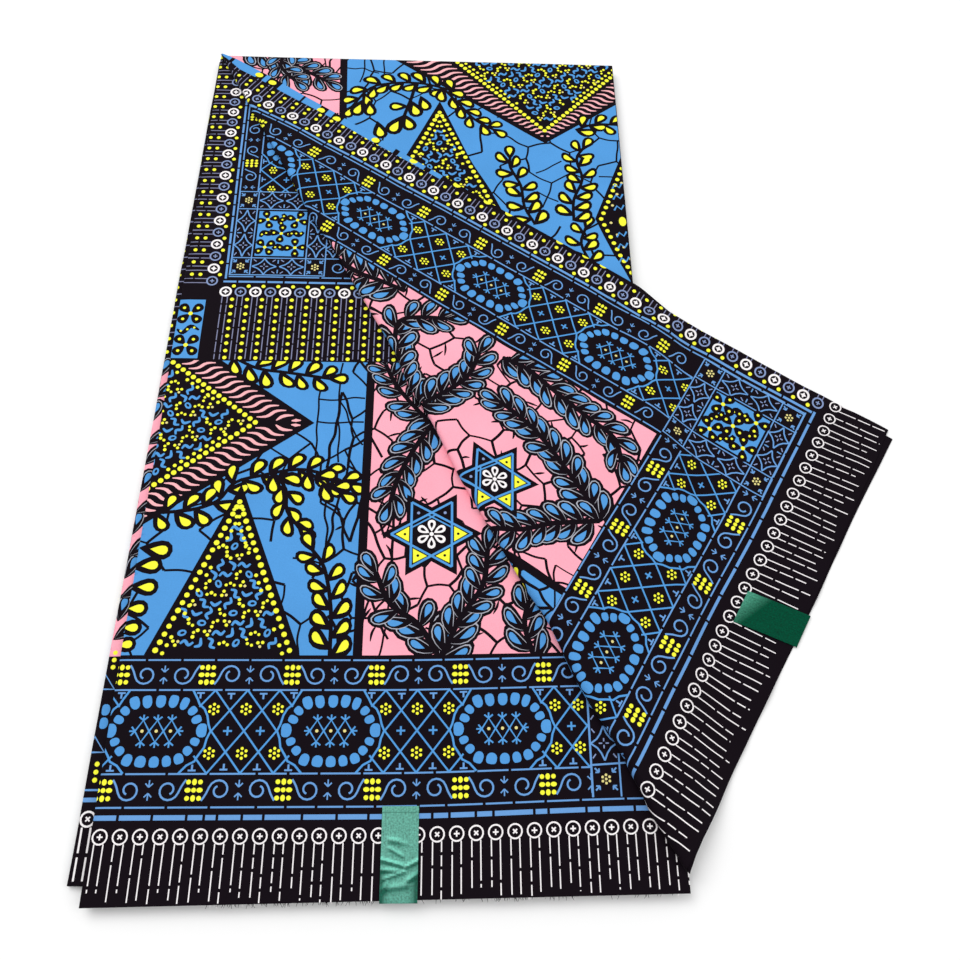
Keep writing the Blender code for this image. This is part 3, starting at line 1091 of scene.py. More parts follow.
def printed_shell(name, outline, face_print, face_loose, under_print, under_loose,
                  place_face, place_under, material):
    """A closed thin sheet: a finely printed face, an underside and the edge between.

    Cutting adds corners to the outline, so each side is cut along the other's rim, until
    both rims have the same corners.
    """
    verts, faces, inks = cut_flat(outline, face_print, face_loose)
    under_verts, under_faces, under_inks = cut_flat(
        [verts[index] for index in rim_of(faces)], under_print, under_loose)
    under_rim = rim_of(under_faces)
    verts, faces, inks = cut_flat([under_verts[index] for index in under_rim], face_print,
                                  face_loose)
    rim = rim_of(faces)
    first = min(range(len(under_rim)), key=lambda k: (
        under_verts[under_rim[k]] - verts[rim[0]]).length)
    under_rim = under_rim[first:] + under_rim[:first]
    low, high = extent(verts)
    span = high - low
    long_x = span.x >= span.y
    reach = max(span) * 1.01
    making = Making(baked=True)

    def put(corners, ink, shrink, lift):
        if len(set(corners)) < 3:
            return
        for loop in making.face(corners, ink).loops:
            flat = loop.vert[making.flat]
            u, v = (flat.x - low.x) / reach, (flat.y - low.y) / reach
            if not long_x:
                u, v = v, u
            loop[making.uv].uv = (u * shrink + BAKE_MARGIN, v * shrink + lift + BAKE_MARGIN)

    top = [making.corner(place_face(p), (p.x, p.y, 0.0)) for p in verts]
    bottom = [making.corner(place_under(p), (p.x, p.y, 0.0)) for p in under_verts]
    for face, ink in zip(faces, inks):
        put([top[index] for index in face], ink, 1.0, 0.0)
    lift = min(span) / reach + 0.01
    for face, ink in zip(under_faces, under_inks):
        put([bottom[index] for index in reversed(face)], ink, UNDER_SIZE, lift)
    # The edge between takes the ink of the printed side that it meets
    edge_inks = {}
    side = (under_faces, under_inks, under_rim) if under_print.faces else (faces, inks, rim)
    for face, ink in zip(side[0], side[1]):
        for i in range(len(face)):
            edge_inks[(face[i - 1], face[i])] = ink
    for k in range(len(rim)):
        following = (k + 1) % len(rim)
        put([bottom[under_rim[k]], bottom[under_rim[following]], top[rim[following]],
             top[rim[k]]],
            edge_inks[(side[2][k], side[2][following])], 1.0, 0.0)
    # A few corners of a cut belong to no triangle
    unused = [vert for vert in making.bm.verts if not vert.link_faces]
    bmesh.ops.delete(making.bm, geom=unused, context="VERTS")
    making.turn_outward()
    return making.piece(name, material)


# Finishes

class Wire:
    """A shader socket that can be reckoned with."""

    def __init__(self, finish, socket):
        self.finish, self.socket = finish, socket

    def maths(self, operation, *values):
        return self.finish.node("ShaderNodeMath", {"operation": operation},
                                dict(enumerate(values)))["Value"]

    def __add__(self, other):
        return self.maths("ADD", self, other)

    def __sub__(self, other):
        return self.maths("SUBTRACT", self, other)

    def __rsub__(self, other):
        return self.maths("SUBTRACT", other, self)

    def __mul__(self, other):
        return self.maths("MULTIPLY", self, other)

    def __truediv__(self, other):
        return self.maths("DIVIDE", self, other)

    __radd__ = __add__
    __rmul__ = __mul__

    def sine(self):
        return self.maths("SINE", self)

    def power(self, other):
        return self.maths("POWER", self, other)

    def clipped(self):
        return self.maths("MINIMUM", self.maths("MAXIMUM", self, 0.0), 1.0)


class Node:
    def __init__(self, finish, node):
        self.finish, self.node = finish, node

    def __getitem__(self, name):
        return Wire(self.finish, self.node.outputs[name])


class Finish:
    """A material and the one way its nodes are made."""

    def __init__(self, name):
        self.material = bpy.data.materials.new(name)
        self.material.use_nodes = True
        self.tree = self.material.node_tree
        self.shader = self.tree.nodes["Principled BSDF"]

    def feed(self, socket, value):
        if isinstance(value, Wire):
            self.tree.links.new(value.socket, socket)
        elif value is not None:
            socket.default_value = value

    def node(self, kind, settings=None, sockets=None):
        node = self.tree.nodes.new(kind)
        for key, value in (settings or {}).items():
            setattr(node, key, value)
        for key, value in (sockets or {}).items():
            self.feed(node.inputs[key], value)
        return Node(self, node)

    def flat(self):
        """A place's flat mm, as a vector and as its three parts."""
        place = self.node("ShaderNodeAttribute", {"attribute_name": "Flat"})["Vector"]
        return place, self.node("ShaderNodeSeparateXYZ", None, {"Vector": place})

    def noise(self, vector, scale, detail=2.0, roughness=0.5):
        return self.node("ShaderNodeTexNoise", {"noise_dimensions": "3D"}, {
            "Vector": vector, "Scale": scale, "Detail": detail, "Roughness": roughness,
        })["Fac"]

    def scaled(self, colour, factor):
        return self.node("ShaderNodeVectorMath", {"operation": "SCALE"},
                         {"Vector": colour, "Scale": factor})["Vector"]

    def blend(self, factor, colour_a, colour_b):
        mix = self.node("ShaderNodeMix", {"data_type": "RGBA"})
        for index, value in ((0, factor), (6, colour_a), (7, colour_b)):
            self.feed(mix.node.inputs[index], value)
        return Wire(self, mix.node.outputs[2])

    def bump(self, height, strength, distance, under=None):
        return self.node("ShaderNodeBump", None, {
            "Height": height, "Strength": strength, "Distance": distance, "Normal": under,
        })["Normal"]

    def surface(self, **sockets):
        for key, value in sockets.items():
            self.feed(self.shader.inputs[key.replace("_", " ").title().replace("Ior", "IOR")],
                      value)
        return self.material


def printed_cotton(name):
    """Waxed cotton: the print's ink, uneven dye, a fine plain weave and a faint sheen."""
    finish = Finish(name)
    ink = finish.node("ShaderNodeAttribute", {"attribute_name": "Ink"})["Color"]
    flat, axes = finish.flat()
    slub = finish.noise(flat, 0.35, 3.0)
    dye = finish.noise(flat, 0.028, 4.0)
    mottle = finish.noise(flat, 1.1, 2.0)
    warp, weft = ((axes[axis] * (2 * math.pi / YARN) + slub * 3.0).sine() for axis in "XY")
    weave = warp * weft
    shade = 0.78 + dye * 0.24 + mottle * 0.20 + weave * 0.07
    rough = 0.60 + mottle * 0.16 + weave * 0.05
    creases = finish.noise(flat, 0.045, 3.0, 0.45)
    relief_normal = finish.bump(creases, 0.35, 0.0014)
    normal = finish.bump(weave * 0.5 + mottle * 0.4, 0.35, 0.00012, relief_normal)
    return finish.surface(base_color=finish.scaled(ink, shade), roughness=rough, normal=normal,
                          sheen_weight=0.01, sheen_roughness=0.5, specular_ior_level=0.05)


def satin_tape(name, base, shadow, shade_of, gloss, shine=0.22):
    """Woven ribbon: fine ribs and streaks along it, a soft shine, and painted shade and highlights.

    shade_of turns the place across and along the ribbon, in mm, into a share of painted
    shadow. The flat place's third number is how much the ribbon's ridges fall along it:
    what falls away gets painted shade, and what rises to the light a painted highlight.
    """
    finish = Finish(name)
    flat, axes = finish.flat()
    stretched = finish.node("ShaderNodeVectorMath", {"operation": "MULTIPLY"},
                            {0: flat, 1: (1.6, 0.10, 1.0)})["Vector"]
    streak = finish.noise(stretched, 1.0, 3.0, 0.6)
    speck = finish.noise(flat, 1.0, 3.0, 0.6)
    ribs = (axes["Y"] * (2 * math.pi / YARN)).sine()
    # Painted shade on the sides of the ridges that fall away
    crease_shade = (axes["Z"] * 5.0).clipped() * 0.75
    # The share of painted shadow: the ribbon's shade map and the crease shade, jittered by grain
    shadow_mask = (shade_of(axes["X"], axes["Y"]) + crease_shade + speck * 0.30 - 0.15).clipped()
    colour = finish.blend(shadow_mask, (*base, 1.0), (*shadow, 1.0))
    # Painted highlight on the sides of the ridges that rise to the light
    lit = (axes["Z"] * -4.0).clipped() * 0.85
    shade = streak * 0.80 + speck * 2.20 + ribs * 0.06 + lit - 0.50
    normal = finish.bump(ribs * 0.5 + streak * 0.8, 0.35, 0.00012)
    return finish.surface(base_color=finish.scaled(colour, shade), roughness=gloss + speck * 0.14,
                          normal=normal, sheen_weight=shine * 0.1, coat_weight=shine * 0.1,
                          coat_roughness=0.35, specular_ior_level=shine)


def front_ribbon_shade(x, y):
    """Painted shadow in the lower corners and, faintly, over the lower part; darker at its hem."""
    sides = (x * x / 78.0).power(2.0)
    low = ((y - 26.0) / 11.0).clipped()
    hem = (1.0 - (y - 3.0) * (y - 3.0) * 9.0).clipped()
    return sides * low * 1.20 + low * 0.12 + hem * 0.60


def flap_ribbon_shade(x, y):
    """Painted shadow over the ribbon, least in the corner that lies on the print."""
    return (y / 11.0 + x * 0.045 + 0.12).clipped()


# The prints of the parts that show

def front_rise(x, y):
    """The woven border climbs a little to the right, most near the selvedge."""
    return 4.2 * smooth((x - 140) / 150) * (1 - min(y, 120) / 300)


def packet_map(point):
    x, y = point
    return x, y + front_rise(x, y)


def before_crease(point):
    return (Vector(point) - CREASE_BACK).dot(ACROSS) < 14.0


def near_the_roll(flat):
    return -18.0 < flat[1] < 3.0


def beside_corner(flat):
    """Whether the turned corner leaves this place of its plies' lower limb in sight."""
    s, w = flat
    return flap_axes(CREASE_BACK + ALONG * s + ACROSS * (w + crease_offset(s)))[1] < 14.0


def visible_only(sheet):
    """The shapes that the turned corner doesn't hide, and their inks."""
    kept = [(face, ink) for face, ink in zip(sheet.faces, sheet.inks)
            if any(beside_corner(sheet.points[index]) for index in face)]
    return zip(*kept)


def front_border(st):
    selvedge_fringe(st, 4.0, 299.5, 9.85, 29.0, -1.6, 11)
    st.dashes(-2, 300, 38.0, 2.5, "sky", 5, 21, 1.4, 12)
    thin_line(st, -2, 300, 42.9, 13)
    scroll_band(st, -43.3, 320, 45.3, 51.3, 1.0, ends=(-4, 252))
    thin_line(st, -2, 262, 59.3, 14)
    medallion_band(st, -2, 250, 90.5, 81.0, 43.0, 24.5)
    thin_line(st, -2, 250, 102.6, 15)
    scroll_band(st, -43.3, 320, 45.3, 110.8, 1.0, ends=(-4, 250))
    thin_line(st, -2, 242, 118.9, 16)


def packet_end_cells(st):
    """The end of the front band, where it meets the next corner block."""
    st.box(252, 44, 300, 112, "dark")
    for y in (69.6, 92.4):
        st.dot(250.6, y, 3.6, "dark")
        seven_dots(st.at(246.4, y))
    st.bar((251.6, 44), (251.6, 110), 1.1, "sky")
    st.bar((251, 60.3), (276, 61.4), 1.0, "sky")
    flower_cell(st.at(259, 53), 14, 14)
    star_cell(st.at(259, 71.5), 14, 18)
    star_cell(st.at(259, 92), 14, 18)
    st.bar((266.4, 44), (266.4, 66), 0.9, "sky")


def packet_fields(st):
    """The blue and pink fields between the borders."""
    st.box(-8, 121.4, 124.4, 311.5, "blue")
    st.box(129.6, 121.4, 262, 372, "pink")


def packet_figures(st):
    crackle(st, (4, 124), (122, 236), 27, 20, 1.4, 0.75)
    crackle(st, (132, 124), (250, 374), 20, 30, 1.5, spurs=0.35)
    banded_diamond(st.at(-4, 267), 98, 71.6, (36, 23.5), 19)
    for line in (
        ((95, 268), (124, 268)), ((95, 300), (96, 247), (97, 240)), ((96, 284), (124, 285)),
        ((109, 311), (108, 270), (110, 240)), ((109, 282), (118, 262), (124, 252)),
    ):
        vein(st, line)
    loose_leaves(st, YELLOW_LEAF, (
        (2, 184, -6, 1.18), (-1, 172.5, 6, 1.08), (-1, 160.5, 0, 1.05), (-4, 148, 0, 1.0),
        (-5, 137, 0, 0.95), (-6, 127, 4, 0.9)))
    sprays(st, YELLOW_LEAF, (
        (12.0, 0.95, 22, 60, (6, 206), (26, 208), (41, 214), (50, 226), (66, 231), (86, 235),
         (102, 232), (118, 225)),
        (12.0, 0.95, 23, 50, (72, 233), (80, 222), (82, 208), (90, 197)),
        (11.0, 0.92, 24, 50, (92, 234), (102, 226), (112, 220)),
        (10.6, 0.98, 25, 64, (112, 120), (111, 148), (106, 172), (98, 184)),
        (12.0, 0.95, 26, 62, (40, 314), (56, 306), (76, 303), (102, 299)),
    ))
    dotted_triangle(st.at(54, 121), 84, 104, 28)
    st.box(124.4, 120, 129.6, 322, "dark")
    sprays(st, BLUE_LEAF, (
        (10.8, 0.98, 31, 56, (172, 119), (160, 139), (144, 151), (135, 170)),
        (10.8, 0.98, 32, 56, (172, 119), (183, 142), (196, 162), (199, 184)),
        (10.8, 0.98, 33, 56, (168, 270), (156, 251), (146, 230), (142, 214)),
        (10.8, 0.88, 34, 66, (162, 271), (151, 284), (142, 297), (136, 310)),
        (10.8, 0.95, 35, 50, (224, 118), (219, 138), (222, 152)),
        (10.8, 0.90, 37, 50, (112, 378), (122, 358), (130, 338)),
    ))
    six_point_star(st.at(166.5, 193.5), 29.5)


def left_borders(st):
    """The packet's upper left: the side border, the cross border and their corner block."""
    st.patch([(-8, 311.5), (156, 311.5), (146, 374), (110, 600), (-8, 600)], "dark")
    st.box(0.5, 313, 17.5, 358.5, "blue")
    for y in (347.5, 323):
        petal_flower(st.at(9, y), 1.35)
    st.stroke(rounded_line([(2, 335), (6, 332.4), (10.5, 337.4), (16, 334.6)]), 3.2, "dark",
              ends=0.4)
    for x, y in ((4.6, 333.7), (8.6, 335.0), (12.8, 336.4)):
        st.dot(x, y, 0.8, "yellow", sides=7)
    side = Stencil(st.sheet, lambda p: st.to_flat((p[1] - 0.014 * (p[0] - 470), p[0])))
    dotted_fringe(side, 374.0, 589.0, 10.24, 18.2, -3, 41, (-8.2, -13.8))
    dotted_fringe(st, 29.4, 150, 9.68, 365.4, 312.5, 42,
                  (-6.2, -11.9, -17.8, -23.4, -29.3, -35.0, -40.6, -46.3, -51.6), True)
    st.dashes(27, 122, 373.6, 1.5, "sky", 8, 22, 1.3, 43)
    thin_line(st, 30, 122, 377.8, 44)
    side.dashes(376, 600, 26.9, 1.4, "sky", 8, 22, 1.3, 45)
    thin_line(side, 380, 600, 29.6, 46)
    scroll_band(side, 433, 620, 45.0, 35.6, 0.82, ends=(452, 600))
    thin_line(side, 452, 600, 42.2, 47)
    medallion_band(side, 452, 600, 96, 61.0, 37.0, 502)
    scroll(st.at(101.5, 386.4, size=0.85, mirror=True, flip=True))
    thin_line(st, 93, 118, 393.8, 48)
    star_cell(st.at(97.5, 402), 12, 14)
    st.box(31, 379.8, 93, 451.4, "dark")
    corner_cells(st, (30.2, 43.4, 79.6, 92.6), (379.4, 393.6, 436.0, 451.6))


def banded_diamond_edge(st):
    """The dark half diamond of dots that the packet's right fold cuts."""
    edge = [(303, 500), (277, 432), (288, 400), (303, 366)]
    st.patch([(303, 366), (303, 500), (277, 432), (288, 400)], "dark")
    for (x0, y0), (x1, y1) in zip(edge, edge[1:]):
        steps = max(1, round(math.hypot(x1 - x0, y1 - y0) / 5.4))
        for k in range(steps):
            x, y = x0 + (x1 - x0) * k / steps, y0 + (y1 - y0) * k / steps
            st.dot(x + 4.2, y, 1.6, "yellow")
            if k % 2:
                st.dot(x + 9.0, y + 2, 1.1, "straw", sides=7)
    st.oval(296, 430, 2.6, 4.2, "yellow")
    for y in (396, 408, 418, 442, 452, 462):
        st.stroke([(291, y - 2), (293, y + 2), (296, y - 1), (298, y + 3)], 1.3, "blue")


def upper_right(st):
    """The field that the turned plies' lower limb shows."""
    st.box(0, 360, 98, 600, "pink")
    crackle(st, (10, 500), (96, 600), 20, 50, 1.3, spurs=0.3)
    st.patch([(91.5, 600), (95.5, 505), (110, 340), (320, 340), (320, 600)], "dark")
    st.patch([(97.0, 600), (101.0, 505), (115, 340), (320, 340), (320, 600)], "blue")
    crackle(st, (104, 366), (300, 600), 28, 59, 1.4, 0.75)
    banded_diamond(st.at(245, 612), 148, 110, (58, 12.5), 49)
    for line in (((111, 590), (111, 575), (108, 560)), ((126, 590), (126, 566)),
                 ((98, 575), (110, 575), (122, 570)), ((237, 473), (256, 485)),
                 ((237, 456), (252, 447)), ((282, 471), (300, 470))):
        vein(st, line)
    sprays(st, YELLOW_LEAF, (
        (12.0, 0.95, 51, 58, (178, 553), (156, 560), (134, 560), (116, 554), (103, 534)),))
    st.stroke([(150, 560), (147, 545), (142, 526)], 2.6, "dark")
    loose_leaves(st, YELLOW_LEAF, (
        (111, 541, -109, 1.10), (116, 540, -84, 0.98), (123, 519, -78, 1.08),
        (140, 525, -115, 1.25), (142, 527, -68, 1.09), (147, 541, -71, 1.10),
        (144, 536, -178, 0.90), (154, 546, -71, 1.00)))
    sprays(st, YELLOW_LEAF, (
        (12.5, 0.92, 53, 50, (170, 556), (182, 540), (194, 524), (208, 514)),
        (11.0, 0.94, 54, 72, (235, 426), (228, 442), (226, 461), (219, 478), (219, 488)),
        (11.0, 0.92, 58, 72, (271, 394), (266, 410), (270, 424)),
        (11.0, 0.94, 55, 72, (262, 430), (263, 449), (270, 468), (267, 487), (273, 499)),
        (10.6, 0.92, 56, 56, (268, 516), (282, 522), (299, 522)),
    ))
    dotted_triangle(st.at(168, 434), 92, 108, 57)
    banded_diamond_edge(st)
    sprays(st, BLUE_LEAF, (
        (11.0, 0.94, 60, 58, (22, 592), (42, 584), (62, 574), (84, 560)),
        (11.0, 0.86, 61, 58, (52, 596), (48, 576), (60, 560)),
    ))


def lower_strip(st):
    """The narrow strip of the lower leaf that shows left of the upper ones."""
    st.box(-14, -2, 8, 122, "dark")
    st.box(-14, 122, 8, 311, "pink")
    bead(st.at(-5, 38), "white", turn=45)
    for x in (-7.2, -2.8):
        st.bar((x, 34), (x, 22), 0.95, "white")
        st.bar((x, 20), (x, 9), 0.95, "white")
    st.box(-12, 46.2, 0, 48.4, "sky")
    st.box(-12, 51.6, 0, 52.6, "sky")
    for y in (57, 61, 65, 116, 120, 124):
        st.dot(-4.6, y, 1.3, "yellow")
    for y in (71, 104):
        st.stroke([(-12, y), (-2, y), (-8, y + 8), (-12, y)], 1.1, "sky")
    for y in (86, 93):
        petal(st.at(-4.6, y, 90), 3.0, 2.2)
    for y, turn in ((132, 70), (143, 110), (156, 60), (168, 100), (181, 75), (195, 110),
                    (208, 60), (222, 100), (240, 80), (254, 65), (270, 110), (287, 70),
                    (302, 100)):
        leaf(st.at(-6, y, turn - 30, 0.8), BLUE_LEAF)
    for k in range(26):
        y = 320 + 10.2 * k
        st.dot(-3.6, y, 1.35, "yellow")
        st.dot(-8.4, y, 1.35, "yellow")
        st.bar((-12, y + 5), (0, y + 5), 0.8, "dusk")
        if k % 3:
            st.box(-12, y + 1.8, -5.6, y + 3.6, "sky")


# How far the bands of the turned corner's upper border lie inward of their middle
# places: along it, at its edge and at its far line
UPPER_LIFT_EDGE = (
    (0, -7.5), (50, -6.5), (100, -5.8), (150, -5.0), (163, -1.0), (172, 1.8), (186, 0.8),
    (200, 0.0), (300, 0.5), (400, 1.5), (450, 3.5), (500, 7.5), (552, 11.0),
)
UPPER_LIFT_INNER = (
    (0, 0.0), (200, 0.0), (300, 0.4), (400, 1.2), (450, 2.6), (500, 6.0), (552, 10.0),
)


def upper_border_map(point):
    """From (a, y) in the upper border to the turned corner's (a, b)."""
    a, y = point
    share = smooth(y / 60)
    lift = between(UPPER_LIFT_EDGE, a) * (1 - share) + between(UPPER_LIFT_INNER, a) * share
    return a, y + lift


def selvedge_border_map(point):
    """From (b, y) in the selvedge border to the turned corner's (a, b)."""
    b, y = point
    drift = 2.1 * smooth((b - 105) / 90)
    skew = 0.14 * (1 - smooth((b - 140) / 150)) * max(36 - y, 0.0)
    wave = 0.7 * math.sin(b * 0.09) * smooth((34 - y) / 30)
    return y + drift, b - skew + wave


def flap_print(sheet):
    def axes_to_flat(point):
        return flat_from_turned(flap_point(*point))
    st = Stencil(sheet, axes_to_flat)
    upper = Stencil(sheet, lambda p: axes_to_flat(upper_border_map(p)))
    side = Stencil(sheet, lambda p: axes_to_flat(selvedge_border_map(p)))
    st.box(124.8, 94.2, 420, 213.4, "pink")
    st.box(124.8, 218.6, 200, 270, "blue")
    crackle(st, (128, 96), (400, 213), 20, 60, 1.5, spurs=0.35)
    crackle(st, (128, 220), (190, 268), 24, 59, 1.1)
    sprays(st, BLUE_LEAF, (
        (10.4, 1.10, 61, 68, (314, 98), (330, 101), (348, 105), (366, 103), (376, 98)),
        (10.4, 0.98, 62, 56, (285, 147), (298, 133), (303, 120), (294, 109), (279, 99)),
        (10.4, 0.98, 63, 72, (252, 167), (265, 163), (279, 155), (292, 144)),
        (10.4, 0.98, 64, 56, (257, 163), (249, 143), (245, 126), (248, 108)),
        (10.4, 0.98, 66, 52, (233, 103), (215, 101), (192, 105), (166, 109), (146, 112),
         (134, 124)),
        (10.4, 0.98, 67, 52, (127, 164), (146, 154), (164, 146), (180, 139), (197, 134),
         (219, 131)),
        (10.4, 0.98, 68, 58, (128, 165), (150, 182), (164, 198), (180, 208)),
    ))
    sprays(st, YELLOW_LEAF, ((11.0, 0.9, 70, 50, (128, 256), (142, 244), (152, 228)),))
    six_point_star(st.at(193.5, 179.5, -90), 27.5)
    st.box(119.6, 90.8, 430, 94.2, "dark")
    st.box(121.5, 213.4, 210, 218.6, "dark")

    side.box(-8, -8, 302, 49, "dark")
    selvedge_fringe(side, 4.6, 294, 10.28, 35.4, 1.4, 71, upright=1)
    side.dashes(16, 300, 45.4, 1.7, "sky", 8, 24, 1.5, 72)
    thin_line(side, 20, 300, 50.2, 73)
    scroll_band(side, 70.5, 320, 45.6, 57.6, 1.0, ends=(91, 300), start=1)
    thin_line(side, 90, 300, 65.6, 74)
    medallion_band(side, 93, 300, 90.4, 86.2, 41.2, 141.3)
    side.box(55, 106.4, 93.2, 124.6, "dark")
    thin_line(side, 93, 300, 107.0, 75)
    scroll_band(side, 70.5, 320, 45.6, 114.4, 0.95, ends=(91, 300), start=1)
    thin_line(side, 93, 300, 122.0, 76)

    upper.box(42, -12, 560, 20, "dark")
    upper.box(122.8, 20, 552, 93.0, "dark")
    dotted_fringe(upper, 46.2, 549, 10.28, 14.2, -6, 77, (-7.4, -12.5))
    upper.dashes(47, 552, 21.9, 1.6, "sky", 8, 23, 1.3, 78)
    thin_line(upper, 50, 552, 25.0, 79)
    scroll_band(upper, 102.6, 560, 47.4, 34.2, 0.84, ends=(127, 520), start=1)
    thin_line(upper, 123, 552, 40.6, 80)
    medallion_band(upper, 126, 520, 96.4, 59.4, 36.6, 172.0)
    thin_line(upper, 123, 470, 78.2, 81)
    scroll_band(upper, 102.6, 460, 47.4, 84.8, 0.80, ends=(127, 430), start=1)
    thin_line(upper, 123, 440, 91.4, 82)
    st.box(50.5, 21.6, 123.0, 90.6, "dark")
    corner_cells(st, (50.6, 65.4, 107.2, 122.4), (22.0, 37.4, 74.6, 89.6))


# Pieces

def stack_leaf(name, corners, top, sheet, step, material):
    """A leaf of the packet: folded at its left, right and back, cut at its front."""
    corners = [Vector(corner) for corner in corners]
    outline = [point for point, _ in round_sides(corners, 4.0)]
    low, high = extent(corners)
    loose = grid_points(low, high, step)
    centre = sum(corners, Vector((0, 0))) / 4
    for inset in FOLD_INSETS:
        for point in outline:
            away = centre - point
            loose.append(point + Vector((math.copysign(min(inset, abs(away.x)), away.x),
                                         math.copysign(min(inset, abs(away.y)), away.y))))

    def height_at(point, under):
        drop = fold_drop(folded_depth(corners, point), FOLD_RADIUS)
        base = top - LEAF_THICKNESS + drop if under else top - drop
        sway = 0.7 * noise.noise(Vector((0.0, point[1] * 0.012, top)))
        near = 1.0 - smooth((point[0] - low.x) / 60)
        return (point[0] + sway * near, point[1], base + relief(*point))

    return printed_shell(name, outline, sheet, loose, Print(), grid_points(low, high, 16),
                         lambda p: height_at(p, False), lambda p: height_at(p, True), material)


# Where each hidden leaf's sides lie, in mm beyond the packet's: the left fold's front and
# back, the right fold's front and back, the front edge's left and right, and the back fold
EDGE_LEAVES = (
    (-10.2, -0.6, -9.1, -0.2, 6.9, 1.6, -0.9), (-9.6, 0.2, -8.2, 0.9, 7.6, 2.4, -1.6),
    (-10.0, -0.2, -8.9, 0.3, 6.8, 2.0, -0.5), (-9.8, 0.4, -8.6, 1.1, 7.2, 1.5, -1.2),
    (0.9, 2.4, -1.4, 1.3, -1.9, 1.9, -0.7), (0.2, 1.9, -0.7, 2.2, -2.6, 1.5, 0.1),
    (0.7, 2.8, -1.0, 1.6, -2.1, 2.3, -0.4),
)


def edge_ink(x, y, leaf, ply):
    """The colour that shows on a fold at this place round the packet."""
    speck = noise.noise(Vector((x * 0.05, y * 0.05, leaf * 5.3 + ply * 0.6)))
    if y < 8 or y < 118 and speck < 0.42:
        return "dark"
    if speck > 0.36:
        return "blue"
    if speck > -0.06:
        return "dark"
    if y > 311:
        return "yellow" if speck < -0.46 else "dark"
    return "pink" if speck > -0.34 else "yellow" if speck < -0.52 else "dark"


def folded_pile(name, first, last, low, high, material):
    """Rounded folds one above another: the packet's hidden leaves as one solid."""
    rings, marks = [], []
    thickness = (high - low) / (last - first)
    plies = 2
    for index, leaf in enumerate(EDGE_LEAVES[first:last]):
        left_front, left_back, right_front, right_back, front_left, front_right, back = leaf
        corners = [
            Vector((left_front, front_left)),
            Vector((PACKET_WIDTH + right_front, front_right)),
            Vector((PACKET_WIDTH + right_back, PACKET_LENGTH + back)),
            Vector((left_back, PACKET_LENGTH + back)),
        ]
        for ply in range(plies):
            base = low + thickness * (index + ply / plies)
            tall = thickness / plies
            for inset, height in ((0.85 if ply == 0 else 0.35, 0.0), (0.16, 0.22), (0.0, 0.5),
                                  (0.16, 0.78)):
                outline = []
                for point, inward in round_sides(corners, 4.5):
                    place = Vector((point.x * 0.02, point.y * 0.02, index * 3.1 + ply))
                    waver = 0.35 * noise.noise(place)
                    outline.append(point + inward * (inset + waver + 0.2))
                rings.append([(p.x, p.y, base + tall * height + relief(p.x, p.y) * 0.8)
                              for p in outline])
                marks.append((first + index, ply))
    rings.append([(p[0], p[1], high + relief(p[0], p[1]) * 0.8) for p in rings[-1]])
    count = min(len(ring) for ring in rings)
    making = Making()
    loops = []
    for ring in rings:
        if len(ring) > count:
            ring = [ring[round(k * len(ring) / count)] for k in range(count)]
        loops.append([making.corner(place, (place[0] + place[1], place[2] * 1.2, 0.0))
                      for place in ring])
    for ring, mark, lower, upper in zip(rings, marks, loops, loops[1:]):
        making.strip(lower, upper, closed=True,
                     inks=[edge_ink(x, y, *mark) for x, y, _ in ring[:count]])
    making.face(loops[0][::-1], "dark")
    making.face(loops[-1], "dark")
    making.turn_outward()
    return making.piece(name, material, sharp=60.0)


def ply_outline(corners, upper_rise, selvedge_rise):
    """A turned ply's outline in flat (s, w), with close corners where it bends."""
    back_left, back_right, front_right, free = (Vector(corner) for corner in corners)

    def turned_edge(end, rise, side):
        """The edge from the free corner to an end, up to the roll."""
        inward = left_of((end - free).normalized()) * side
        spots = [flat_from_turned(point + inward * between(rise, (point - free).length))
                 for point in spaced(free, end, 4.0)[1:]]
        return [spot for spot in spots if spot.y < -math.pi * roll_radius(spot.x) - 3.0]
    middle = front_right.lerp(back_right, 0.5) + Vector((1.2, 0.0))
    under = (spaced(front_right, middle, 4.0) + spaced(middle, back_right, 4.0)
             + spaced(back_right, back_left, 4.0))
    flat = [flat_from_packet(back_left), *turned_edge(back_left, upper_rise, 1)[::-1],
            flat_from_turned(free), *turned_edge(front_right, selvedge_rise, -1),
            *map(flat_from_packet, under)]
    outline = []
    for index, point in enumerate(flat):
        following = flat[(index + 1) % len(flat)]
        low, high = sorted((point.y, following.y))
        outline += spaced(point, following, 0.9 if low < 2.0 and high > -16.0 else 4.0)
    return outline


def bend_points():
    """Rows of loose corners along the roll, close enough to make it round."""
    points = []
    for k in range(int(CREASE_LENGTH / 5) + 1):
        s = 5.0 * k
        for row in range(13):
            points.append(Vector((s + 2.5 * (row % 2), -math.pi * roll_radius(s) * row / 12)))
        for reach in (2.0, 4.5, 7.5, 11.0):
            points.append(Vector((s, -math.pi * roll_radius(s) - reach)))
    return points


def turned_ply(name, corners, upper_rise, selvedge_rise, distances, face_print, under_print,
               material):
    outline = ply_outline(corners, upper_rise, selvedge_rise)
    quad = [flat_from_packet(corners[0]), flat_from_turned(corners[3]),
            flat_from_packet(corners[2]), flat_from_packet(corners[1])]
    loose = [point for point in grid_points(*extent(outline), 5.0) + bend_points()
             if intersect_point_quad_2d(point, *quad)]
    return printed_shell(name, outline, face_print, loose, under_print, loose,
                         bent_at(distances[0]), bent_at(distances[1]), material)


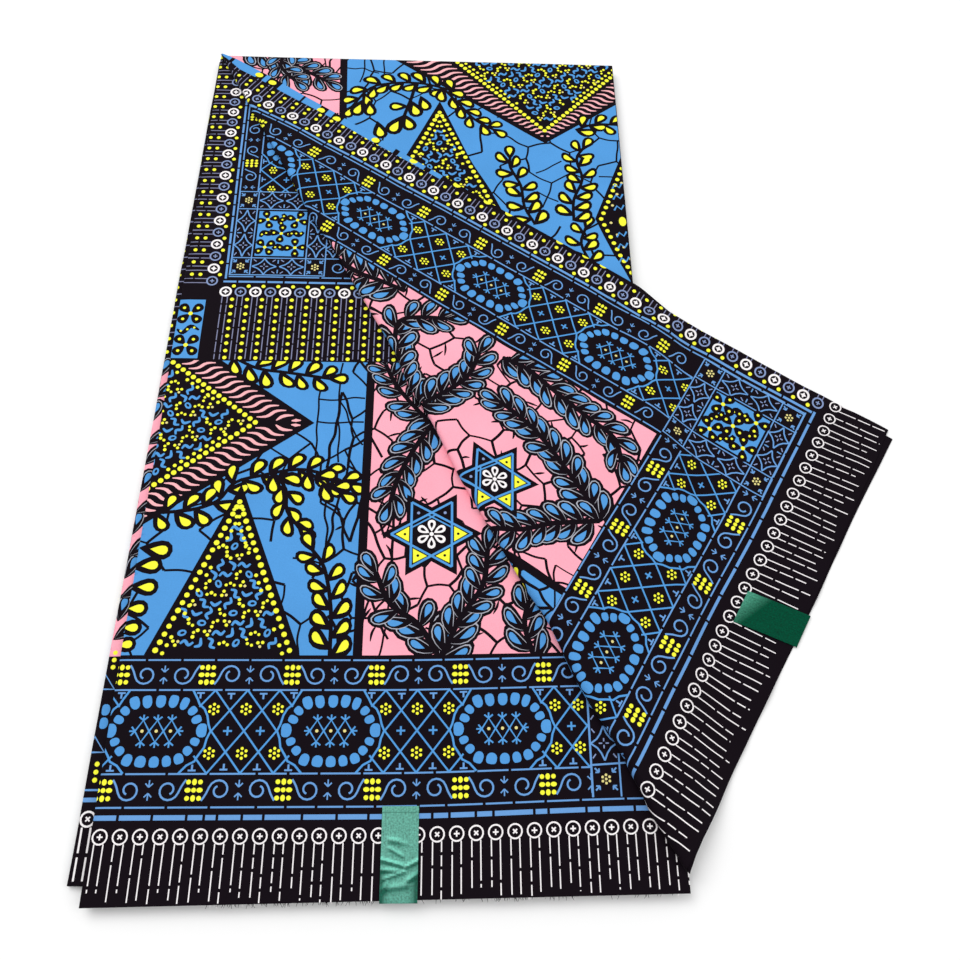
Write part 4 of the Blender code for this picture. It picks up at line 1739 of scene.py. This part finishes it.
# How far each turned ply's two edges lie inward of the straight lines from the free
# corner, at distances from it
FLAP_UPPER_RISE = (
    (0, 0.0), (40, 1.5), (60, 2.3), (100, 2.5), (150, 3.0), (165, 4.2), (178, 6.0), (190, 5.6),
    (210, 4.4), (300, 4.0), (400, 3.8), (450, 2.6), (500, 4.4), (530, 5.6), (550, 0.0),
)
FLAP_SELVEDGE_RISE = (
    (0, 0.0), (40, -1.2), (120, -2.2), (200, -2.4), (260, -1.8), (300, 0.0),
)
INNER_UPPER_RISE = (
    (0, 0.0), (150, 0.0), (176, -0.5), (192, -1.4), (300, -1.8), (370, -2.6), (425, -4.4),
    (450, -5.3), (500, -5.0), (540, -3.0), (556, 0.0),
)
INNER_SELVEDGE_RISE = ((0, 0.0), (60, 0.5), (140, -0.6), (200, -0.3), (260, 0.4), (300, 0.0))


def inner_strip_print(sheet):
    """What shows of the inner ply beyond the outer one: its own border's edge."""
    st = Stencil(sheet, lambda p: flat_from_turned(flap_point(*p)))
    for a, reach in ((346, 356), (361, 384), (388, 401), (405, 436), (444.9, 450.3), (457.2, 471.8),
                     (473.6, 494), (504.6, 508.4), (514, 537.6), (540.5, 560)):
        st.patch([(a, -9.0), (reach, -9.0), (reach, 9.0), (a, 9.0)], "blue")
    for a in (212, 226, 247, 289, 307, 333, 371, 405, 440.5, 455, 500.5, 513):
        st.oval(a, 0.6, 3.1, 2.3, "yellow", turn=20)


# Ridges of the front tape, with its x and the run along it in place of a and b
TAPE_RIDGES = (
    (-4.2, 16.6, -1.6, 17.0, 1.3, 0.75), (1.0, 18.0, 2.6, 18.2, 1.0, 0.35),
    (-4.8, 20.6, 0.8, 23.6, 0.9, 0.55), (-9.3, 25.6, 0.6, 28.2, 0.9, 1.15),
    (4.0, 28.8, 9.3, 26.2, 0.9, 0.95), (-8.2, 30.4, -1.6, 30.8, 1.0, 0.70),
    (-7.5, 34.6, 2.2, 31.4, 0.8, 0.60), (5.0, 35.0, 9.3, 32.4, 1.2, 1.20),
    (-6.5, 38.8, 3.5, 37.6, 1.5, 0.70), (-9.3, 41.0, -6.0, 36.6, 0.9, 0.60),
)


def tape(name, path, width, rows, ridges, material, node, across):
    """A strip along a path of points, with small ridges laid over it."""
    making = Making(inked=False)
    lines, run = [], 0.0
    for index, place in enumerate(path):
        if index:
            run += (Vector(place) - Vector(path[index - 1])).length
        line = []
        for k in range(rows + 1):
            x = width * (k / rows - 0.5)
            spot = Vector(place) + across * x
            rise = ridge_height(ridges, x, run)
            # How far the ridge falls here, kept in the flat place for the ribbon's painted shade
            # and highlight
            fall = rise - ridge_height(ridges, x, run + 0.5)
            spot.z += rise + 0.10 * abs(noise.noise(Vector((x * 0.3, run * 0.2, width))))
            line.append(making.corner(spot, (x, run, fall)))
        lines.append(line)
    for lower, upper in zip(lines, lines[1:]):
        making.strip(lower, upper)
    making.turn_outward()
    faces = making.bm.faces
    if sum(face.normal.z for face in faces) < 0:
        bmesh.ops.reverse_faces(making.bm, faces=faces[:])
    bmesh.ops.solidify(making.bm, geom=faces[:], thickness=TAPE_THICKNESS * MM)
    making.turn_outward()
    piece = making.piece(name, material, sharp=50.0)
    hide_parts(node)
    return piece


def front_tape_path():
    """From its end on the cloth to the front edge and down over it."""
    edge = TOP_LEAF[0][1] + (TOP_LEAF[1][1] - TOP_LEAF[0][1]) * 0.51
    seat = STACK_TOP + TAPE_SEAT
    path = [(TAPE_CENTRE, edge + 44.0 - 0.9 * k, seat) for k in range(int(44.0 / 0.9))]
    for k in range(7):
        angle = math.pi / 2 * k / 6
        path.append((TAPE_CENTRE, edge - 0.5 - 0.8 * math.sin(angle),
                     seat - 0.8 * (1 - math.cos(angle))))
    path += [(TAPE_CENTRE, edge - 1.3, seat - 0.8 - 0.9 * k) for k in range(1, 4)]
    return path


def flap_tape_path():
    """From its end on the turned corner to the selvedge and down to the table."""
    top = ON_TABLE + PLY_GAP + PLY + TAPE_SEAT
    path = []
    for k in range(39):
        a = 34.2 - 0.96 * k
        b = 160.0 - 0.2 * (34.2 - a)
        x, y = flap_point(a, b)
        path.append((x, y, top + ridge_height(FLAP_RIDGES, a, b)))
    for a, drop in ((-2.9, 0.1), (-3.2, 0.9)):
        x, y = flap_point(a, 152.6)
        path.append((x, y, top - drop))
    return path


def frayed_edge(material):
    """Short loose ends of yarn along the packet's cut front edge."""
    pick = random.Random(7)
    front_left, front_right = Vector(TOP_LEAF[0]), Vector(TOP_LEAF[1])
    sides, segments, thick = 3, 4, 0.19
    making = Making()
    for start, end, count in ((60, 143, 90), (163, 200, 20), (200, 240, 50), (250, 292, 16)):
        for _ in range(count):
            x = pick.uniform(start, end)
            root = front_left.lerp(front_right, x / PACKET_WIDTH)
            length = pick.uniform(0.6, 2.0)
            lean, drop = pick.uniform(-0.9, 0.9), pick.uniform(0.1, 0.9)
            ink = pick.choice(("dark", "dark", "dark", "white"))
            rings = []
            for k in range(segments + 1):
                share = k / segments
                middle = Vector((root.x + lean * length * share ** 1.4,
                                 root.y + 0.5 - (length + 0.5) * share,
                                 STACK_TOP - 0.45 - drop * length * share ** 2))
                radius = thick * (1 - 0.6 * share)
                rings.append([
                    making.corner(middle + Vector((math.cos(angle), 0, math.sin(angle))) * radius,
                                  (x, share * length, 0.0))
                    for angle in (2 * math.pi * corner / sides for corner in range(sides))])
            making.face(rings[0][::-1], ink)
            making.face(rings[-1], ink)
            for lower, upper in zip(rings, rings[1:]):
                making.strip(lower, upper, closed=True, inks=[ink] * sides)
    making.turn_outward()
    return making.piece("frayed_edge", material)


# Putting it together

def main():
    """Make every piece of the packet, and hide the frame's parts that they take the place of."""
    cloth = printed_cotton("waxed_cotton")
    edge_cloth = printed_cotton("folded_edges")
    # Each ribbon gets a lit colour and a colour for its painted shadow, blended by its shade map
    ribbon = satin_tape("green_ribbon", (0.105, 0.350, 0.272), (0.002, 0.090, 0.056),
                        front_ribbon_shade, 0.30)
    dark_ribbon = satin_tape("dark_green_ribbon", (0.060, 0.270, 0.180),
                             (0.000, 0.060, 0.029), flap_ribbon_shade, 0.42, 0.03)

    packet = Print(before_crease)
    st = Stencil(packet, packet_map)
    packet_fields(st)
    packet_figures(st)
    st.box(-8, -8, 310, 121.6, "dark")
    front_border(st)
    packet_end_cells(st)
    left_borders(st)
    top_leaf = stack_leaf("top_leaf", TOP_LEAF, STACK_TOP, packet, 6.0, cloth)

    lower = Print(lambda p: p[0] < 6.0)
    st = Stencil(lower, lambda p: p)
    lower_strip(st)
    lower_leaf = stack_leaf("lower_leaf", LOWER_LEAF, 4 * LEAF, lower, 9.0, cloth)

    lower_folds = folded_pile("lower_folds", 0, 3, 0.0, 3 * LEAF - 0.02, edge_cloth)
    upper_folds = folded_pile("upper_folds", 4, 7, 4 * LEAF + 0.04, 7 * LEAF - 0.02, edge_cloth)

    outer_print = Print(folds=near_the_roll)
    flap_print(outer_print)
    outer = turned_ply("turned_ply_over", OUTER_CORNERS, FLAP_UPPER_RISE, FLAP_SELVEDGE_RISE,
                       (PLY_GAP + PLY, PLY_GAP), outer_print, Print(), cloth)

    inner_print = Print(lambda flat: flat[1] > -1.0, near_the_roll)
    upper_right(Stencil(inner_print, flat_from_packet))
    inner_print.faces, inner_print.inks = visible_only(inner_print)
    strip = Print()
    inner_strip_print(strip)
    inner = turned_ply("turned_ply_under", INNER_CORNERS, INNER_UPPER_RISE, INNER_SELVEDGE_RISE,
                       (-PLY_GAP - PLY, -PLY_GAP), inner_print, strip, cloth)

    front_tape = tape("front_tape", front_tape_path(), FRONT_TAPE_WIDTH, 26, TAPE_RIDGES,
                      ribbon, "tape_front", Vector((1, 0, 0)))
    flap_tape = tape("flap_tape", flap_tape_path(), FLAP_TAPE_WIDTH, 24, (), dark_ribbon,
                     "tape_flap", Vector((*SELVEDGE_WAY, 0.0)))
    frays = frayed_edge(cloth)

    for piece in (top_leaf, lower_leaf, lower_folds, upper_folds):
        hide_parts("folded_stack")
    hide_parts("turned_ply_outer")
    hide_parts("turned_ply_inner")


def stage_and_light():
    bm = bmesh.new()
    bmesh.ops.create_grid(bm, x_segments=8, y_segments=8, size=2.5)
    mesh = bpy.data.meshes.new("floor")
    bm.to_mesh(mesh)
    bm.free()
    floor = bpy.data.objects.new("floor", mesh)
    finish = Finish("pale_floor")
    place = finish.node("ShaderNodeTexCoord")["Object"]
    tone = finish.noise(place, 3.0, 2.0)
    mesh.materials.append(finish.surface(
        base_color=finish.blend(tone, (0.93, 0.93, 0.93, 1.0), (0.96, 0.96, 0.96, 1.0)),
        roughness=0.9, specular_ior_level=0.1))
    bpy.context.collection.objects.link(floor)

    world = bpy.context.scene.world or bpy.data.worlds.new("studio")
    bpy.context.scene.world = world
    world.use_nodes = True
    background = world.node_tree.nodes["Background"]
    background.inputs["Color"].default_value = (1.0, 1.0, 1.0, 1.0)
    background.inputs["Strength"].default_value = SURROUNDINGS

    for name, place, size, power in LAMPS:
        lamp = bpy.data.lights.new(name, "AREA")
        lamp.size = size
        lamp.energy = power
        light = bpy.data.objects.new(name, lamp)
        light.location = place
        light.rotation_euler = (-Vector(place)).to_track_quat("-Z", "Y").to_euler()
        bpy.context.collection.objects.link(light)


def add_camera():
    lens = bpy.data.cameras.new("camera")
    lens.sensor_width = SENSOR
    lens.lens = SENSOR * FOCAL / PICTURE
    camera = bpy.data.objects.new("camera", lens)
    place = Matrix.Translation(Vector(CAMERA_PLACE) + SHIFT)
    camera.matrix_world = place @ Matrix(CAMERA_TURN).to_4x4()
    bpy.context.collection.objects.link(camera)
    bpy.context.scene.camera = camera


bpy.context.scene.view_settings.view_transform = "Standard"
add_camera()
stage_and_light()
main()
